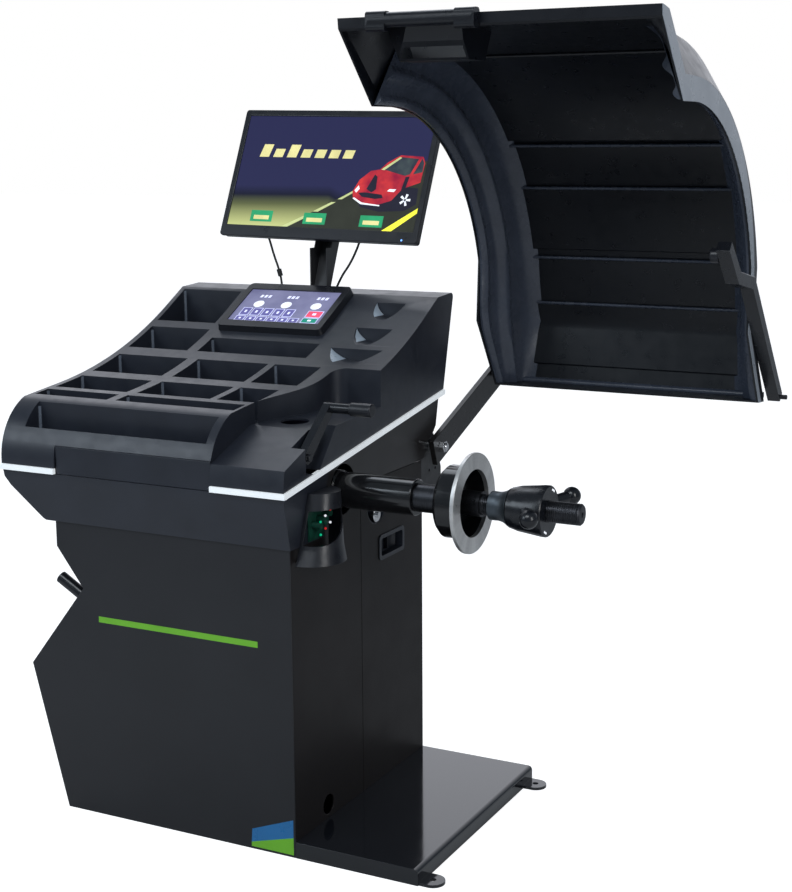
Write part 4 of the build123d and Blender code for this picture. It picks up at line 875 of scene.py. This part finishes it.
def swell(share, middle, wide):
    """A smooth bump of height 1, nought beyond its width on either side."""
    near = max(0.0, 1 - abs(share - middle) / wide)
    return near * near * (3 - 2 * near)


def wall_liner(name, mirrored):
    """A side wall's moulded inner face: a rolled lip, a middle ridge and a cove into the skin, coloured with
    painted sheen lighter than the hood plastic.
    """
    across_steps, cove = 30, 26.0
    bm = bmesh.new()
    columns = []
    for k in range(across_steps + 1):
        share = 0.02 + 0.975 * k / across_steps
        line = smooth_line(hood_line(share, first=1), 4)
        lift = (HOOD_WALL + 0.6 + 10 * swell(share, 0.09, 0.12) + 13 * swell(share, 0.45, 0.15)
                + cove * max(0.0, (share - 0.72) / 0.28) ** 2)
        x = HOOD_LEFT + HOOD_DRAFT * share + lift
        back = HOOD_LEFT + HOOD_DRAFT * share + HOOD_WALL - 0.3
        if mirrored:
            x, back = HOOD_LEFT + HOOD_RIGHT - x, HOOD_LEFT + HOOD_RIGHT - back
        columns.append(tuple([bm.verts.new(mm(face_x, y, z)) for y, z in line] for face_x in (x, back)))
    rows = len(columns[0][0])
    for (front, rear), (next_front, next_rear) in zip(columns, columns[1:]):
        for i in range(rows - 1):
            bm.faces.new((front[i], front[i + 1], next_front[i + 1], next_front[i]))
            bm.faces.new((rear[i], next_rear[i], next_rear[i + 1], rear[i + 1]))
        for i in (0, rows - 1):
            bm.faces.new((front[i], next_front[i], next_rear[i], rear[i]))
    for front, rear in (columns[0], columns[-1]):
        for i in range(rows - 1):
            bm.faces.new((front[i], rear[i], rear[i + 1], front[i + 1]))
    add_object(name, bm, HOOD_PAINTED_SHEEN, "hood")


# A lighter copy of the hood plastic, for painted sheen on the wall liners, beads and low lip.
HOOD_PAINTED_SHEEN = finish_of("hood_painted_sheen", (0.044, 0.053, 0.075), (0.22, 0.32), grain=(500.0, 0.05))
# A pale colour for the right wall's outer band: a painted highlight on the dark hood plastic.
FLANGE_HIGHLIGHT = finish_of("hood_flange_highlight", (0.30, 0.33, 0.37), (0.25, 0.35), mottle=0.06)
wall_liner("hood_liner_left", False)
wall_liner("hood_liner_right", True)


def skin_band(name, start, end, thick):
    """A raised band across the hood's back skin between two heights."""
    line = [p for p in hood_line(1.0) if end <= p[1] <= start]
    bm = bmesh.new()
    rows = []
    for i, (y, z) in enumerate(line):
        before, after = line[max(i - 1, 0)], line[min(i + 1, len(line) - 1)]
        dy, dz = after[0] - before[0], after[1] - before[1]
        length = math.hypot(dy, dz)
        inward = (dz / length, -dy / length)
        near = HOOD_WALL + thick
        rows.append([
            bm.verts.new(mm(x, y + inward[0] * deep, z + inward[1] * deep))
            for x, deep in ((HOOD_LEFT + 62, HOOD_WALL - 1), (HOOD_LEFT + 62, near),
                            (HOOD_RIGHT - 62, near), (HOOD_RIGHT - 62, HOOD_WALL - 1))
        ])
    bridge(bm, rows)
    add_object(name, bm, HOOD, "hood", 2.5)


for index, (start, end) in enumerate(((1500, 1326), (1245, 1082), (989, 830))):
    skin_band(f"hood_band_{index}", start, end, 6.0)


def skin_point(height, inward):
    """A point on the skin's line at a height, moved in from it."""
    line = hood_line(1.0)
    for (y0, z0), (y1, z1) in zip(line, line[1:]):
        if z1 <= height <= z0 and z0 > z1 and z0 < 1500:
            share = (z0 - height) / (z0 - z1)
            length = math.hypot(y1 - y0, z1 - z0)
            return y0 + share * (y1 - y0) - inward * (z0 - z1) / length, height - inward * (y1 - y0) / length
    return line[-1]


# Thin beads along the skin bands' edges and a rolled low lip, in the painted sheen: painted highlight lines.
for index, height in enumerate((1330, 1240, 1086, 984)):
    y, z = skin_point(height, HOOD_WALL + 4.5)
    sweep(f"hood_highlight_bead_{index}", [(x, y, z) for x in (HOOD_LEFT + 66, 250, 450, HOOD_RIGHT - 66)], 3.4,
          HOOD_PAINTED_SHEEN)
sweep("hood_lip_low", [(x, 851, 809) for x in (66, 200, 400, 600, 644)], 8.0, HOOD_PAINTED_SHEEN)


def side_flange_highlight():
    """A pale band round the right wall's outer face, next to the mouth: a painted highlight where the light
    catches the dark hood.
    """
    rim = 45.0
    edge = hood_line(0.0)
    deep = []
    for m, s in zip(hood_line(0.0), hood_line(1.0)):
        taper = 0.45 + 0.55 * max(0.0, min(1.0, (m[1] - 1080) / 220))
        share = min(1.0, rim * taper / max(1.0, math.dist(m, s)))
        deep.append((m[0] + share * (s[0] - m[0]), m[1] + share * (s[1] - m[1])))
    bm = bmesh.new()
    rows = [[bm.verts.new(mm(x, *p)) for x in (HOOD_RIGHT - 0.5, HOOD_RIGHT + 0.6) for p in pair]
            for pair in zip(edge, deep)]
    for one, two in zip(rows, rows[1:]):
        for a, b in ((0, 1), (1, 3), (3, 2), (2, 0)):
            bm.faces.new((one[a], one[b], two[b], two[a]))
    for row in (rows[0], rows[-1]):
        bm.faces.new((row[0], row[1], row[3], row[2]))
    add_object("hood_flange_right", bm, FLANGE_HIGHLIGHT, "hood")


side_flange_highlight()


# ------------------------------------------------------------------ cords
CORD_Y = 665.0
ROUTES = {
    "cord_left": ((-450, 1143), (-441, 1120), (-431, 1087), (-419, 1057), (-412.5, 1035), (-411, 1019.5)),
    "cord_right": ((-202, 1143), (-208, 1123), (-221, 1094), (-236, 1068), (-256, 1043), (-268, 1019.5)),
}


def make_cord(node):
    """A cord hanging from its plug behind the monitor to its grommet on the cover."""
    points = [mm(x, CORD_Y, z) for x, z in ROUTES[node]]
    data = bpy.data.curves.new("soft_" + node, "CURVE")
    data.dimensions = "3D"
    data.bevel_depth = 0.0025
    data.bevel_resolution = 6
    data.resolution_u = 16
    data.use_fill_caps = True
    spline = data.splines.new("NURBS")
    spline.points.add(len(points) - 1)
    for control, point in zip(spline.points, points):
        control.co = (*point, 1.0)
    spline.order_u = 3
    spline.use_endpoint_u = True
    item = bpy.data.objects.new("soft_" + node, data)
    bpy.context.scene.collection.objects.link(item)
    data.materials.append(RUBBER)
    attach(item, "cabinet")
    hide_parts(node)


make_cord("cord_left")
make_cord("cord_right")


# ------------------------------------------------------------------ floor and light
def make_floor():
    """A pale floor: seen as nearly white, and lighting the object only a little from below."""
    mesh = bpy.data.meshes.new("floor")
    mesh.from_pydata([(-30, -30, 0), (30, -30, 0), (30, 30, 0), (-30, 30, 0)], [], [(0, 1, 2, 3)])
    item = bpy.data.objects.new("floor", mesh)
    bpy.context.scene.collection.objects.link(item)
    n = Nodes("floor")
    n.link(n.shades(n.noise(2.0), (0.60, 0.60, 0.60), (0.62, 0.62, 0.62)), n.bsdf.inputs["Base Color"])
    n.bsdf.inputs["Roughness"].default_value = 0.8
    n.bsdf.inputs["Specular IOR Level"].default_value = 0.1
    rays = n.add("ShaderNodeLightPath")
    white = n.add("ShaderNodeEmission")
    white.inputs["Color"].default_value = (1, 1, 1, 1)
    white.inputs["Strength"].default_value = 0.82
    both = n.add("ShaderNodeAddShader")
    n.link(n.bsdf.outputs["BSDF"], both.inputs[0])
    n.link(white.outputs["Emission"], both.inputs[1])
    pick = n.add("ShaderNodeMixShader")
    n.link(rays.outputs["Is Camera Ray"], pick.inputs["Fac"])
    n.link(n.bsdf.outputs["BSDF"], pick.inputs[1])
    n.link(both.outputs["Shader"], pick.inputs[2])
    n.link(pick.outputs["Shader"], n.tree.nodes["Material Output"].inputs["Surface"])
    mesh.materials.append(n.material)


def make_world():
    """White behind the object, and a dimmer, slightly blue room all round it."""
    world = bpy.data.worlds.new("studio")
    bpy.context.scene.world = world
    world.use_nodes = True
    tree = world.node_tree
    add = tree.nodes.new
    out = tree.nodes["World Output"]
    room = tree.nodes["Background"]
    seen = add("ShaderNodeBackground")
    seen.inputs["Strength"].default_value = 1.0
    seen.inputs["Color"].default_value = (1, 1, 1, 1)
    place = add("ShaderNodeTexCoord")
    lobe = add("ShaderNodeVectorMath")
    lobe.operation = "DOT_PRODUCT"
    lobe.inputs[1].default_value = (-0.44, 0.86, 0.24)
    tree.links.new(place.outputs["Generated"], lobe.inputs[0])
    ramp = add("ShaderNodeValToRGB")
    ramp.color_ramp.elements[0].position, ramp.color_ramp.elements[0].color = 0.55, (*ROOM, 1)
    ramp.color_ramp.elements[1].position, ramp.color_ramp.elements[1].color = 0.93, (*LOBE, 1)
    tree.links.new(lobe.outputs["Value"], ramp.inputs["Fac"])
    tree.links.new(ramp.outputs["Color"], room.inputs["Color"])
    rays = add("ShaderNodeLightPath")
    pick = add("ShaderNodeMixShader")
    tree.links.new(rays.outputs["Is Camera Ray"], pick.inputs["Fac"])
    tree.links.new(room.outputs["Background"], pick.inputs[1])
    tree.links.new(seen.outputs["Background"], pick.inputs[2])
    tree.links.new(pick.outputs["Shader"], out.inputs["Surface"])


def area(name, place, towards, size, power, colour):
    """A rectangular light that faces a point."""
    data = bpy.data.lights.new(name, "AREA")
    data.shape = "RECTANGLE"
    data.size, data.size_y = size
    data.energy = power
    data.color = colour
    item = bpy.data.objects.new(name, data)
    item.location = place
    item.rotation_mode = "QUATERNION"
    item.rotation_quaternion = (Vector(towards) - Vector(place)).to_track_quat("-Z", "Y")
    bpy.context.scene.collection.objects.link(item)


ROOM = (0.17, 0.205, 0.24)
LOBE = (1.15, 1.18, 1.28)
make_floor()
make_world()
area("key_light", (0.2, -2.6, 3.4), (0, 0, 0.9), (2.2, 1.2), 46, (0.88, 0.94, 1.0))
area("right_light", (3.3, -1.6, 1.9), (0.3, 0, 1.1), (0.9, 1.8), 31, (0.98, 0.98, 0.98))
area("left_light", (-2.3, -2.7, 2.3), (0, 0, 0.8), (1.6, 1.4), 28, (0.80, 0.90, 1.0))
area("top_light", (-0.4, 1.4, 3.4), (0, 0, 0.9), (2.6, 1.2), 16, (0.84, 0.92, 1.0))
bpy.context.scene.view_settings.view_transform = "Standard"
